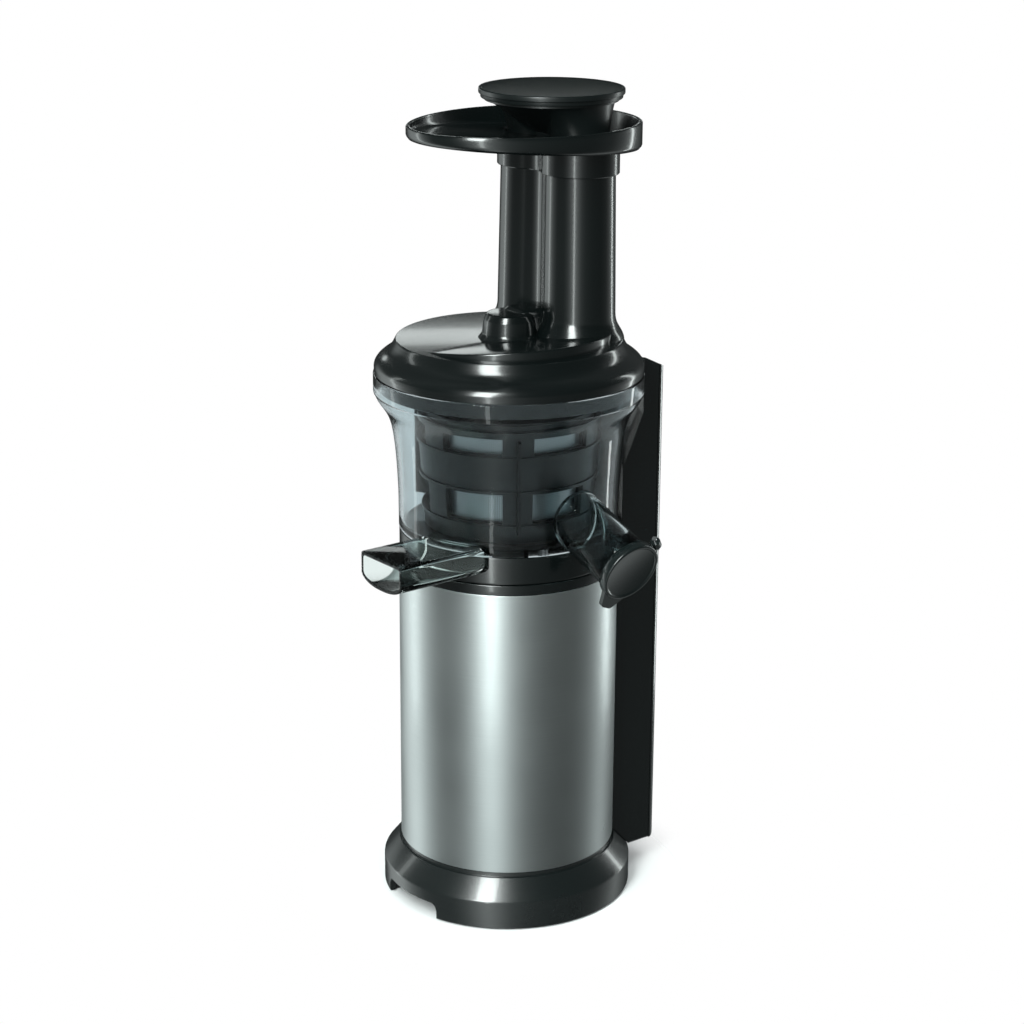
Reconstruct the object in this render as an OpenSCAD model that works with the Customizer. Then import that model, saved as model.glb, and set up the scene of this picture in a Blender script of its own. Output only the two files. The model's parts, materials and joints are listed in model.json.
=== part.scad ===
// Upright cold press juicer: steel motor housing, clear juicing bowl with a slow screw,
// strainer and rotating wiper, lid with a kidney-shaped feed tube, hopper tray and pusher.
// The machine's axis is Z and the table is at z = 0. The juice spout points to -Y,
// the rear column stands at +Y and the pulp outlet points to +X.

/* [Base] */
// How far the base skirt stands out from the sleeve
base_flare = 9.3; // [8:0.1:16]
// Height of the skirt's straight side above the table
skirt_h = 15.8; // [12:0.1:22]
// Height of the lip where the bevel meets the sleeve
lip_h = 26.2; // [23:0.1:27.5]
// Wall of the base moulding
base_wall = 3; // [2:0.1:4]
// Width of the finger arch in the front of the skirt
arch_w = 42.4; // [30:0.1:48]
// Height of the finger arch
arch_h = 9.2; // [6:0.1:10]
// Height of the rubber feet
foot_h = 1.6; // [1.2:0.1:2.4]

/* [Sleeve] */
// Outer radius of the steel sleeve
sleeve_r = 57.8; // [52:0.1:64]
// Sheet thickness of the sleeve
sleeve_wall = 0.8; // [0.6:0.1:1.2]
// Length of the sleeve
sleeve_len = 155.1; // [150:0.5:175]
// Height of the black groove below the sleeve
groove_h = 2.4; // [1.6:0.1:4]
// Height of the black deck ring on top of the sleeve
deck_h = 5.4; // [4.5:0.1:8]

/* [Column] */
// Width of the rear column
column_w = 70; // [60:0.5:76]
// Distance from the sleeve to the column's back face
column_depth = 20.2; // [19:0.1:26]
// Height of the column's underside above the table
column_low = 14.5; // [8:0.5:20]
// Height of the column's top at its back edge
column_top = 284.2; // [276:0.5:290]
// Slope of the column's top, in degrees
column_slope = 26; // [15:1:30]

/* [Bowl] */
// How far the bowl's rim stands out from its lower wall
rim_flare = 12.8; // [11:0.1:14]
// Height of the black band under the bowl's floor
band_h = 14.8; // [13.5:0.1:17]
// Height of the clear bowl from floor to rim
bowl_h = 83.1; // [80:0.1:90]
// Wall of the clear bowl
bowl_wall = 2.2; // [1.6:0.1:2.4]

/* [Outlets] */
// Width of the juice spout
spout_w = 34.8; // [28:0.1:37]
// Height of the juice spout at its side walls
spout_side_h = 11.5; // [9:0.1:13]
// Height of the juice spout at its middle
spout_mid_h = 17; // [14:0.1:18]
// How far the spout's tip stands out from the bowl
spout_len = 39.3; // [30:0.1:50]
// Sideways offset of the spout from the axis
spout_shift = 21.5; // [18:0.1:23]
// Wall of the spout
spout_wall = 2; // [1.2:0.1:2.4]
// Outer radius of the pulp tube
pulp_r = 14.8; // [13:0.1:15]
// Wall of the pulp tube
pulp_wall = 2; // [1.4:0.1:2.4]
// Downward tilt of the pulp tube, in degrees
pulp_tilt = 21.8; // [18:0.2:25]
// How far the tube's mouth stands out from the bowl, measured level
pulp_len = 37.5; // [34:0.1:42]
// How far the pulp cap stands out from the tube's side
cap_over = 1.7; // [1.4:0.1:3]

/* [Lid] */
// Width of the lid's rounded shoulder
shoulder_w = 11.6; // [9:0.1:13]
// Height of the lid above its lower edge
lid_h = 17.6; // [16:0.1:20]
// Height of the centre boss above the lid's top
boss_h = 13.1; // [10:0.1:15]
// Radius of the centre boss
boss_r = 13.3; // [12:0.1:14]
// Slope of the raised half of the lid's top, in degrees
ramp_slope = 6; // [3:0.5:8]

/* [Feed tube] */
// Distance from the edge of the lid's top to the middle of the kidney section
kidney_inset = 22.4; // [21.6:0.1:24]
// Half of the angle that the kidney section spans, in degrees
kidney_half = 32; // [26:1:34]
// Outer half width of the kidney section at the foot
kidney_w = 19; // [18.2:0.1:19.4]
// Height of the feed tube above the lid's top
tube_h = 95; // [70:1:110]
// Narrowing of the half width from foot to top
tube_draft = 2; // [0:0.1:2.6]
// Wall of the feed tube
tube_wall = 2.3; // [1.8:0.1:2.8]

/* [Hopper tray] */
// Half of the tray's width
tray_half_w = 53.5; // [45:0.5:60]
// Half of the tray's length from front to back
tray_half_l = 63; // [59:0.5:68]
// Distance of the tray's middle behind the axis
tray_mid = 7.3; // [4:0.1:9]
// Height of the tray's rim above the top of the feed tube
tray_rise = 15.3; // [14.5:0.1:20]
// Wall of the tray
tray_wall = 2.2; // [1.6:0.1:3]
// Slope of the tray's floor towards the feed tube, in degrees
tray_slope = 4; // [2:0.5:5]

/* [Pusher] */
// Radius of the pusher's round head
head_r = 37.3; // [34:0.1:42]
// Thickness of the pusher's head
head_t = 5; // [3.5:0.1:7]
// Height of the head's top above the tray's rim
head_rise = 15.8; // [14:0.1:20]
// Distance of the head's centre behind the axis
head_mid = 26.4; // [25:0.1:28]
// Clearance between the pusher and the feed tube
pusher_gap = 1; // [0.5:0.1:1.5]

/* [Juicing screw] */
// Number of screw flights
flights = 2; // [1:1:3]
// Height that one flight climbs in a full turn
flight_pitch = 46; // [34:1:70]
// Depth of the flights at the bottom
flight_depth = 8.8; // [6:0.1:12]
// Radius of the screw's core at the top
core_top_r = 9.5; // [8:0.5:12]
// Clearance between the flights and the strainer
screw_gap = 0.6; // [0.4:0.1:1.2]

/* [Strainer and wiper] */
// Room between the bowl's outside and the wiper frame's foot
wiper_room = 13.7; // [12:0.1:15]
// How much the wiper frame widens from its foot to its top
wiper_flare = 4.1; // [2:0.1:5]
// Wall of the wiper frame
wiper_wall = 2; // [1.5:0.1:2.4]
// Wall of the strainer frame
strainer_wall = 1.8; // [1.4:0.1:2.2]
// Number of ribs round the wiper frame and the strainer
rib_count = 6; // [4:1:8]

/* [Gears] */
// Teeth of the motor pinion and of each small gear
pinion_teeth = 12; // [12:1:13]
// Teeth of the first wheel
wheel_one_teeth = 58; // [56:1:58]
// Teeth of the second wheel
wheel_two_teeth = 46; // [44:1:46]
// Teeth of the output wheel
output_teeth = 34; // [32:2:34]
// Teeth of the gear under the juicing screw
screw_teeth = 24; // [24:2:24]
// Teeth of each idler in the bowl
idler_teeth = 10; // [10:2:10]

/* [Hidden] */

$fn = 96;

// Clearances and overruns that many pieces share
over = 1;
fit_gap = 0.3;
run_gap = 0.05;
slip_gap = 0.6;
hull_fn = 32;

// Radii and reaches that follow from the sleeve
base_r = sleeve_r + base_flare;
bowl_step = 0.1;
bowl_r = sleeve_r - bowl_step;
rim_r = bowl_r + rim_flare;
lid_step = 0.5;
lid_r = rim_r - lid_step;
plate_r = lid_r - shoulder_w;
kidney_r = plate_r - kidney_inset;
column_back = sleeve_r + column_depth;
spout_reach = bowl_r + spout_len;
pulp_reach = bowl_r + pulp_len;
cap_r = pulp_r + cap_over;
wiper_low_r = bowl_r - wiper_room;
wiper_top_r = wiper_low_r + wiper_flare;

// Levels, from the table up
base_low = 0.6;
cover_low = foot_h;
sleeve_z = lip_h + groove_h;
deck_z = sleeve_z + sleeve_len;
band_z = deck_z + deck_h + fit_gap;
bowl_z = deck_z + deck_h + band_h;
rim_z = bowl_z + bowl_h;
lid_z = rim_z + fit_gap;
plate_z = lid_z + lid_h;
boss_z = plate_z + boss_h;
tube_z = plate_z + tube_h;
tray_z = tube_z + tray_rise;
head_z = tray_z + head_rise;

// Base details
lip_step = 0.9;
groove_step = 0.5;
spigot_step = 1;
spigot_h = 7.4;
spigot_wall = 2.3;
ledge_in = 11.8;
ledge_in_r = sleeve_r - ledge_in;
ledge_t = 3;
cover_t = 2.5;
arch_wall = 2;
arch_depth = 17;
arch_corner = 4;
foot_r = 7;
foot_in = 21.1;
foot_ring_r = base_r - foot_in;
cover_screw_in = 15.1;
cover_screw_ring_r = base_r - cover_screw_in;
boss_wall_r = 4.2;
screw_r = 1.6;
screw_head_r = 3;
screw_head_h = 1;
screw_len = 12;
cover_hub_r = 12;
cover_hub_share = 0.375;
cover_hub_h = foot_h * cover_hub_share;
vent_count = 24;
vent_w = 2.6;
vent_in_r = 18;
vent_margin = 12;
vent_out_r = foot_ring_r - vent_margin;

// Inner frame and motor
frame_clear = 2.8;
frame_r = sleeve_r - sleeve_wall - frame_clear;
frame_in = 8.8;
frame_in_r = sleeve_r - frame_in;
frame_post_w = 12;
frame_post_t = 2.2;
frame_foot_h = 4;
frame_posts = 4;
mount_r = 3;
mount_h = 4;
gearbox_clear = 1.2;
gearbox_r = sleeve_r - sleeve_wall - gearbox_clear;
gearbox_wall = 2.5;
plate_t = 4;
gearbox_drop = 61.7;
gear_base_z = deck_z - gearbox_drop;
motor_top_gap = 12;
stator_clear = 6;
stator_r = ledge_in_r - stator_clear;
stator_len = 46;
stator_low = gear_base_z - motor_top_gap - stator_len;
air_gap = 0.6;
rotor_in = 18;
rotor_r = stator_r - rotor_in;
winding_margin = 4;
winding_out_r = stator_r - winding_margin;
winding_w = 11;
winding_in_r = winding_out_r - winding_w;
winding_h = 7;
slot_count = 6;
shaft_r = 3;
bearing_r = 8;
bearing_h = 6;
bearing_drop = 2;
bracket_t = 4;
bracket_z = stator_low - winding_h - bracket_t;
bracket_arm_w = 12;
fan_margin = 6;
fan_r = stator_r - fan_margin;
fan_h = 9;
fan_hub_r = 8;
fan_blades = 9;
fan_blade_t = 1.6;
fan_plate_t = 2;
fan_gap = 3;
fan_z = bracket_z - fan_gap - fan_h;

// Gear train: modules, widths and places
pressure = 25;
lash = 0.12;
addendum_share = 0.8;
dedendum_share = 1.2;
// The modules follow the gearbox and the wiper, so that the trains always fill them
train_share = 69.75;
mod_two_share = 1.25;
mod_three_share = 1.5625;
ring_share = 0.75;
mod_one = gearbox_r / train_share;
mod_two = mod_one * mod_two_share;
mod_three = mod_one * mod_three_share;
mod_bowl = wiper_low_r * ring_share * 2 / (screw_teeth + 2 * idler_teeth);
layer_h = 8;
layer_gap = 2;
layer_one_z = gear_base_z + plate_t + layer_gap;
layer_two_z = layer_one_z + layer_h + layer_gap;
layer_three_z = layer_two_z + layer_h + layer_gap;
gear_top_z = layer_three_z + layer_h + layer_gap;
dist_one = mod_one * (pinion_teeth + wheel_one_teeth) / 2;
dist_two = mod_two * (pinion_teeth + wheel_two_teeth) / 2;
dist_three = mod_three * (pinion_teeth + output_teeth) / 2;
gear_one_at = 150;
gear_two_at = gear_one_at + acos((pow(dist_one, 2) + pow(dist_three, 2) - pow(dist_two, 2))
  / (2 * dist_one * dist_three));
gear_one_x = dist_one * cos(gear_one_at);
gear_one_y = dist_one * sin(gear_one_at);
gear_two_x = dist_three * cos(gear_two_at);
gear_two_y = dist_three * sin(gear_two_at);
gear_dir = atan2(gear_two_y - gear_one_y, gear_two_x - gear_one_x);
pin_r = 2.2;

// Drive shaft and the seals that it passes
drive_r = 6;
hex_flats = 10;
bush_wall = 3;
bush_h = 8;
bush_low_h = 16;
deck_hub_r = 16;
deck_hub_h = 9;
seal_lip = 1.6;
seal_h = 3;
hex_rise = 6.1;
hex_z = bowl_z + hex_rise;
hex_len = 12;

// Deck and bowl band
deck_spigot_h = 7.6;
deck_spigot_wall = 3;
band_step = 0.3;
band_wall = 3;
lug_w = 12;
lug_h = 3.5;
lug_depth = 3;
lug_count = 4;

// Bowl
floor_t = 2.6;
hub_r = 11;
hub_bore_r = 8.2;
bowl_hub_h = 6.2;
// Heights up the wall and how much of the flare each one has, as shares
wall_z_shares = [0, 0.23, 0.375, 0.52, 0.65, 0.72, 0.777, 0.82, 0.85, 0.872, 1];
flare_shares = [0, 0.01, 0.055, 0.125, 0.24, 0.36, 0.54, 0.76, 0.93, 1, 1];

// Gears in the bowl
bowl_gear_gap = 1;
bowl_gear_z = bowl_z + floor_t + bowl_gear_gap;
bowl_gear_h = 6;
ring_teeth = screw_teeth + 2 * idler_teeth;
idler_dist = mod_bowl * (screw_teeth + idler_teeth) / 2;
idler_pin_r = 2.5;
screw_bore_r = hub_r + slip_gap;

// Strainer, wiper and screw levels
wiper_z = bowl_gear_z;
wiper_drop = 20;
wiper_top_z = rim_z - wiper_drop;
wiper_low_h = 8;
wiper_top_h = 3.5;
belt_drop = 53;
belt_low_z = rim_z - belt_drop;
belt_h = 20;
rib_half = 9.75;
rib_at = -32;
wiper_gap = 0.5;
wiper_band_h = 1.6;
wiper_band_t = 1;
ring_solid_r = mod_bowl * (ring_teeth / 2 - 2 * addendum_share);
strainer_gap = 1.2;
strainer_z = bowl_gear_z + bowl_gear_h + strainer_gap;
strainer_floor_t = 2;
strainer_top_z = wiper_top_z + strainer_gap;
strainer_flange_t = 2;
slot_margin = 3;
slot_w = 7;
slot_len = 15;
mesh_t = 0.5;
blade_t = 1.4;
blade_gap = 0.5;
blade_rise = 8;
blade_low_z = bowl_z + floor_t + blade_rise;
screw_z = strainer_z + strainer_floor_t + bowl_gear_gap;
core_low_r = screw_reach(screw_z) - flight_depth;
screw_rise = 8;
screw_top_z = lid_z + screw_rise;
screw_neck_r = 15.5;
stem_r = 9;
stem_h = 6.5;
screw_end_step = 4;
core_curve = 0.8;
neck_curve = 1.6;
flight_rise = 0.05;
flight_flat = 0.17;
flight_end = 0.3;
screw_neck_share = 0.72;
screw_rings = 46;
screw_steps = 44;
pin_top_r = 5;
pin_top_h = 14;

// Lid
lid_plug_h = 8;
lid_wall = 2.3;
lid_corner_share = 1.4;
plug_gap = 0.6;
// The lid's shoulder: height above the lower edge and reach from plate to edge, as shares
lid_z_shares = [0, 0.21, 0.335, 0.46, 0.55, 0.63, 0.73, 0.865, 1];
lid_reach_shares = [1, 1, 0.914, 0.724, 0.534, 0.345, 0.224, 0.103, 0];
ramp_in = 5.4;
ramp_r = plate_r - ramp_in;
boss_foot = 2.8;
boss_foot_h = 2.6;
boss_top_in = 1.6;
boss_top_h = 3.4;
pin_hub_r = 9;
pin_hub_h = 5;
tube_foot = 2.2;
tube_foot_h = 4;

// Tray and pusher
collar_gap = 0.4;
collar_wall = 1.8;
collar_low = 10.5;
tray_floor_drop = 8;
tray_edge = 1.6;
tray_floor_up = 1;
tray_edge_h = 2.2;
tray_steps = 72;
tray_egg = 0.1;
head_step = 1;
head_step_h = 2;
head_round = 1.4;
neck_in = 5.3;
neck_r = head_r - neck_in;
neck_h = 16;
neck_rise = 1.5;
pusher_end = 20;
pusher_wall = 2;

// Spout and pulp tube
spout_rise = 5.8;
spout_top = bowl_z + spout_rise;
spout_steps = 12;
spout_square_share = 2.4;
spout_round_share = 0.62;
pulp_drop = 1.9;
cap_t = 5;
cap_skirt = 1.2;
cap_fit = 0.3;
cap_inset = 2;
gasket_lip = 2;
hinge_r = 2.5;
hinge_pin_r = 1.2;
hinge_len = 9;
hinge_lug_t = 2.2;
hinge_fit = 0.6;
hinge_out = cap_r + hinge_r + hinge_fit;
hinge_at = 34;
tab_at = 245;
tab_len = 8.5;
tab_w = 9;

// Column details
column_fit = 0.3;
column_round = 5;
column_screw_low = 10;
column_screw_top = 22;
column_screw_in = 9;
column_wall = 2.5;
cover_depth = 5;
rim_clear = 0.8;
waist_clear = 2.3;
board_w = column_w - 2 * column_wall - 2 * fit_gap;
board_len = 90;
board_t = 1.6;
board_rise = 20;
board_z = sleeve_z + board_rise;
board_in = 12;
board_y = column_back - board_in;
inlet_r = 7;
inlet_bore_r = 3.6;
inlet_len = 12;
inlet_out = 2;
inlet_rise = 8;
inlet_z = sleeve_z + inlet_rise;
switch_rise = 22;
switch_z = bowl_z + switch_rise;
switch_w = 14;
switch_h = 22;
switch_depth = 10.5;
switch_wall = 1.5;
rocker_axis_in = 3.5;
rocker_room = 1.8;
rocker_edge = 1.2;
rocker_bow = 14;
rocker_pin_r = 1.5;

// Points along an arc, in degrees
function arc(cx, cy, r, from, to, steps) =
  [for (i = [0:steps]) let (a = from + (to - from) * i / steps) [cx + r * cos(a), cy + r * sin(a)]];

// Outline of the kidney section: an arc of radius kidney_r about the axis, w to each side
function kidney_points(w, steps = 12) = concat(
  arc(0, 0, kidney_r + w, 90 - kidney_half, 90 + kidney_half, steps),
  arc(kidney_r * cos(90 + kidney_half), kidney_r * sin(90 + kidney_half), w,
    90 + kidney_half + 180 / steps, 270 + kidney_half - 180 / steps, steps - 2),
  arc(0, 0, kidney_r - w, 90 + kidney_half, 90 - kidney_half, steps),
  arc(kidney_r * cos(90 - kidney_half), kidney_r * sin(90 - kidney_half), w,
    -90 - kidney_half + 180 / steps, 90 - kidney_half - 180 / steps, steps - 2));

// Outline of the hopper tray, set in by an even margin: an egg, a little wider at the back
function tray_points(inset) = [for (i = [0:tray_steps - 1]) let (a = 360 * i / tray_steps)
  [(tray_half_w - inset) * cos(a) * (1 + tray_egg * sin(a)), tray_mid + (tray_half_l - inset) * sin(a)]];

// Involute gear outline: half the tooth's angle at radius r, then one tooth, then all of them
function roll(r, base) = tan(acos(min(1, base / r))) * 180 / PI - acos(min(1, base / r));
function half_tooth(r, teeth, m, slack) = let (pitch = m * teeth / 2, base = pitch * cos(pressure))
  90 / teeth - slack * 90 / (PI * pitch) + roll(pitch, base) - roll(max(r, base), base);
function gear_points(teeth, m, tip, root, slack) = let (pitch = m * teeth / 2,
    radii = [pitch - root * m, pitch - root * m / 2, pitch, pitch + tip * m / 2, pitch + tip * m])
  [for (k = [0:teeth - 1]) for (j = [0:9])
    let (r = radii[j < 5 ? j : 9 - j], half = half_tooth(r, teeth, m, slack),
      a = 360 * k / teeth + (j < 5 ? -half : half)) [r * cos(a), r * sin(a)]];

// Radius of the cone that the wiper frame follows, at height z
function wiper_cone(z) = wiper_low_r
  + (wiper_top_r - wiper_low_r) * (z - wiper_z) / (wiper_top_z - wiper_z);
function strainer_cone(z) = wiper_cone(z) - wiper_wall - wiper_gap;
function screw_reach(z) = strainer_cone(z) - strainer_wall - screw_gap;

// Juicing screw: the flight's outline blends from core to reach over a part of each turn
function screw_core(s) = core_low_r + (core_top_r - core_low_r) * pow(s, core_curve);
function screw_tip(z, s) = s < screw_neck_share ? screw_reach(z)
  : screw_reach(z) - (screw_reach(z) - core_top_r - screw_end_step) * pow((s - screw_neck_share)
    / (1 - screw_neck_share), neck_curve);
function flight_share(p) = p < flight_rise ? p / flight_rise : p < flight_flat ? 1
  : p < flight_end ? (flight_end - p) / (flight_end - flight_flat) : 0;
function turn_share(v) = v - floor(v);
function screw_radius(z, s, a) = let (core = screw_core(s))
  core + (screw_tip(z, s) - core)
    * flight_share(turn_share(flights * a / 360 + flights * (z - screw_z) / flight_pitch));

module ring(out_r, in_r, h) {
  difference() {
    cylinder(r = out_r, h = h);
    translate([0, 0, -over]) cylinder(r = in_r, h = h + 2 * over);
  }
}

// Ring whose inner and outer faces are cones
module cone_ring(low_r, top_r, wall, h) {
  rotate_extrude() polygon([[low_r - wall, 0], [low_r, 0], [top_r, h], [top_r - wall, h]]);
}

// Wedge of the space between two radii, centred on an angle
module sector(in_r, out_r, mid, half, h) {
  rotate([0, 0, mid - half]) rotate_extrude(angle = 2 * half)
    translate([in_r, 0]) square([out_r - in_r, h]);
}

module spur_gear(teeth, m, h, bore, turn = 0) {
  difference() {
    rotate([0, 0, turn]) linear_extrude(h)
      polygon(gear_points(teeth, m, addendum_share, dedendum_share, lash));
    translate([0, 0, -over]) cylinder(r = bore, h = h + 2 * over);
  }
}

// How much the kidney section shrinks from the foot of the feed tube to its top
top_share = (kidney_r * sin(kidney_half) + kidney_w - tube_draft) / (kidney_r * sin(kidney_half) + kidney_w);
foot_share = (kidney_r * sin(kidney_half) + kidney_w) / (kidney_r * sin(kidney_half) + kidney_w + tube_foot);

// Straight prism with the section that the feed tube has at its top, for a half width w at the foot
module kidney_prism(w, h) {
  translate([0, kidney_r, 0]) linear_extrude(h) scale(top_share) translate([0, -kidney_r])
    polygon(kidney_points(w));
}

// Kidney prism that shrinks evenly by a share about its own middle
module kidney_taper(w, share, h) {
  translate([0, kidney_r, 0]) linear_extrude(h, scale = share) translate([0, -kidney_r])
    polygon(kidney_points(w));
}

// Everything above a plane through height z at y = 0, which falls towards the back
module above_floor(z, drop, size) {
  translate([0, 0, z]) rotate([-drop, 0, 0]) translate([-size, -size, 0]) cube([2 * size, 2 * size, size]);
}

// Frame of the pulp tube: its own +Z runs out along the tube, and its own +Y stays level
module pulp_frame(along = 0) {
  translate([pulp_reach, 0, bowl_z + pulp_drop]) rotate([0, 90 + pulp_tilt, 0])
    translate([0, 0, along]) children();
}

// Column outline seen from above and from the side
module column_plan(inset) {
  x = column_w / 2 - inset;
  y = column_back - inset;
  r = max(over, column_round - inset);
  polygon(concat([[x, 0]], arc(x - r, y - r, r, 0, 90, 6), arc(r - x, y - r, r, 90, 180, 6), [[-x, 0]]));
}
module column_side(inset) {
  y = column_back - inset;
  low = column_low + inset;
  top = column_top - inset;
  r = max(over, column_round - inset);
  polygon(concat([[0, low]], arc(y - r, low + r, r, -90, 0, 6),
    [[y, top], [0, top + y * tan(column_slope)]]));
}
module column_block(inset) {
  intersection() {
    linear_extrude(column_top + column_back) column_plan(inset);
    rotate([90, 0, 90]) translate([0, 0, -column_w]) linear_extrude(2 * column_w) column_side(inset);
  }
}
// Round front of the column: clear of base, sleeve, bowl and lid by the fit
module column_hollow(extra) {
  g = column_fit + extra;
  top = column_top + column_back;
  rotate_extrude() polygon([[0, 0], [base_r + g, 0], [base_r + g, skirt_h], [sleeve_r + lip_step + g, lip_h + g],
    [sleeve_r + g, lip_h + g], [sleeve_r + g, deck_z], [bowl_r + waist_clear + extra, deck_z + waist_clear],
    [bowl_r + waist_clear + extra, belt_low_z], [rim_r + rim_clear + extra, belt_low_z + belt_h + wiper_low_h],
    [rim_r + rim_clear + extra, top], [0, top]]);
}

// Screws as a group of separate solids, heads down
module screws(places, z) {
  for (p = places) translate([p[0], p[1], z]) {
    translate([0, 0, -screw_head_h]) cylinder(r = screw_head_r, h = screw_head_h);
    cylinder(r = screw_r, h = screw_len);
  }
}

function ring_places(r, count, from) =
  [for (i = [0:count - 1]) let (a = from + 360 * i / count) [r * cos(a), r * sin(a)]];
foot_places = ring_places(foot_ring_r, 4, 45);
cover_places = ring_places(cover_screw_ring_r, 3, 90);
gearbox_places = ring_places(gearbox_r - gearbox_wall - screw_head_r, 3, 0);
mount_margin = 0.6;
mount_places = ring_places(frame_r - mount_r - mount_margin, frame_posts, 45);

module base_ring() color([0.05, 0.06, 0.06]) {
  in_r = sleeve_r - spigot_step;
  difference() {
    union() {
      rotate_extrude() polygon([[base_r, base_low], [base_r, skirt_h],
        [sleeve_r + lip_step, lip_h], [sleeve_r - groove_step, lip_h], [sleeve_r - groove_step, sleeve_z],
        [in_r, sleeve_z], [in_r, sleeve_z + spigot_h], [in_r - spigot_wall, sleeve_z + spigot_h],
        [in_r - spigot_wall, sleeve_z], [ledge_in_r, sleeve_z], [ledge_in_r, sleeve_z - ledge_t],
        [in_r, sleeve_z - ledge_t], [base_r - base_wall, skirt_h - base_wall / 2],
        [base_r - base_wall, base_low]]);
      intersection() {
        cylinder(r = base_r - base_wall / 2, h = skirt_h);
        translate([-arch_w / 2 - arch_wall, -base_r, base_low])
          cube([arch_w + 2 * arch_wall, arch_depth + arch_wall, arch_h + arch_wall]);
      }
      for (p = cover_places) translate([p[0], p[1], cover_low + cover_t])
        cylinder(r = boss_wall_r, h = sleeve_z - ledge_t / 2 - cover_low - cover_t);
    }
    for (p = cover_places) translate([p[0], p[1], 0]) cylinder(r = screw_r, h = cover_low + cover_t + screw_len);
    translate([0, arch_depth - base_r, 0]) rotate([90, 0, 0]) linear_extrude(arch_depth + over)
      polygon(concat([[arch_w / 2, -over]],
        arc(arch_w / 2 - arch_corner, arch_h - arch_corner, arch_corner, 0, 90, 6),
        arc(arch_corner - arch_w / 2, arch_h - arch_corner, arch_corner, 90, 180, 6), [[-arch_w / 2, -over]]));
  }
}

module bottom_cover() color([0.07, 0.07, 0.07]) translate([0, 0, cover_low]) difference() {
  union() {
    cylinder(r = base_r - base_wall - fit_gap, h = cover_t);
    translate([0, 0, -cover_hub_h]) cylinder(r = cover_hub_r, h = cover_t + cover_hub_h);
  }
  translate([-arch_w / 2 - arch_wall - fit_gap, -base_r, -over])
    cube([arch_w + 2 * (arch_wall + fit_gap), arch_depth + arch_wall + fit_gap, cover_t + 2 * over]);
  for (i = [0:vent_count - 1]) rotate([0, 0, 360 * i / vent_count])
    translate([vent_in_r, -vent_w / 2, -over]) cube([vent_out_r - vent_in_r, vent_w, cover_t + 2 * over]);
  for (p = cover_places) translate([p[0], p[1], -over]) cylinder(r = screw_r + fit_gap, h = cover_t + 2 * over);
}

module rubber_feet() color([0.12, 0.12, 0.12])
  for (p = foot_places) translate([p[0], p[1], 0]) cylinder(r = foot_r, h = foot_h);

module cover_screws() color([0.6, 0.6, 0.6]) screws(cover_places, cover_low);

module steel_sleeve() color([0.72, 0.75, 0.75])
  translate([0, 0, sleeve_z]) ring(sleeve_r, sleeve_r - sleeve_wall, sleeve_len);

// Open plastic frame that stands on the base and carries the gearbox
module inner_frame() color([0.2, 0.2, 0.2]) {
  top = gear_base_z - mount_h;
  translate([0, 0, sleeve_z]) ring(frame_r - spigot_wall, ledge_in_r, frame_foot_h);
  translate([0, 0, top - frame_foot_h]) ring(frame_r, ledge_in_r, frame_foot_h);
  for (i = [0:frame_posts - 1]) translate([0, 0, sleeve_z + over])
    sector(frame_in_r, frame_in_r + frame_post_t, 360 * i / frame_posts, asin(frame_post_w / frame_r / 2),
      top - sleeve_z - 2 * over);
}

module vibration_mounts() color([0.1, 0.1, 0.1]) for (p = mount_places)
  translate([p[0], p[1], gear_base_z - mount_h]) cylinder(r = mount_r, h = mount_h);

module deck_ring() color([0.05, 0.06, 0.06]) difference() {
  in_r = sleeve_r - sleeve_wall - run_gap;
  union() {
    rotate_extrude() polygon([[0, deck_z + deck_h - deck_spigot_wall], [in_r - deck_spigot_wall, deck_z],
      [in_r - deck_spigot_wall, deck_z - deck_spigot_h], [in_r, deck_z - deck_spigot_h], [in_r, deck_z],
      [sleeve_r - band_step / 2, deck_z], [sleeve_r - band_step / 2, deck_z + deck_h - band_step],
      [sleeve_r - band_step, deck_z + deck_h], [0, deck_z + deck_h]]);
    translate([0, 0, deck_z]) cylinder(r = deck_hub_r, h = deck_h + deck_hub_h);
    for (i = [0:lug_count - 1]) rotate([0, 0, 360 * i / lug_count + 45])
      translate([in_r - band_wall - over / 2 - lug_depth, -lug_w / 2, deck_z + deck_h - over])
        cube([lug_depth, lug_w, lug_h + over]);
  }
  translate([0, 0, deck_z - over]) cylinder(r = drive_r + bush_wall, h = bush_h + over);
  translate([0, 0, deck_z]) cylinder(r = drive_r + seal_lip, h = deck_h + deck_hub_h + over);
}

module deck_seal() color([0.75, 0.75, 0.72])
  translate([0, 0, deck_z + deck_h + deck_hub_h - seal_h]) ring(drive_r + seal_lip, drive_r + run_gap, seal_h);

module column_shell() color([0.04, 0.05, 0.05]) difference() {
  column_block(0);
  column_hollow(0);
  difference() {
    column_block(column_wall);
    column_hollow(column_wall);
  }
  translate([-column_w, column_back - cover_depth, 0]) cube([2 * column_w, column_back, column_top + column_back]);
}

module column_cover() color([0.04, 0.05, 0.05]) difference() {
  column_block(0);
  column_block(column_wall);
  translate([-column_w, -over, 0])
    cube([2 * column_w, column_back - cover_depth + over, column_top + column_back]);
  translate([-switch_w / 2, 0, switch_z - switch_h / 2]) cube([switch_w, column_back + over, switch_h]);
  translate([0, 0, inlet_z]) rotate([-90, 0, 0]) cylinder(r = inlet_r, h = column_back + over);
  for (p = column_places) translate([p[0], 0, p[1]]) rotate([-90, 0, 0])
    cylinder(r = screw_r + fit_gap, h = column_back + over);
}
column_places = [for (x = [-1, 1]) for (z = [column_low + column_screw_low, column_top - column_screw_top])
  [x * (column_w / 2 - column_screw_in), z]];

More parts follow.
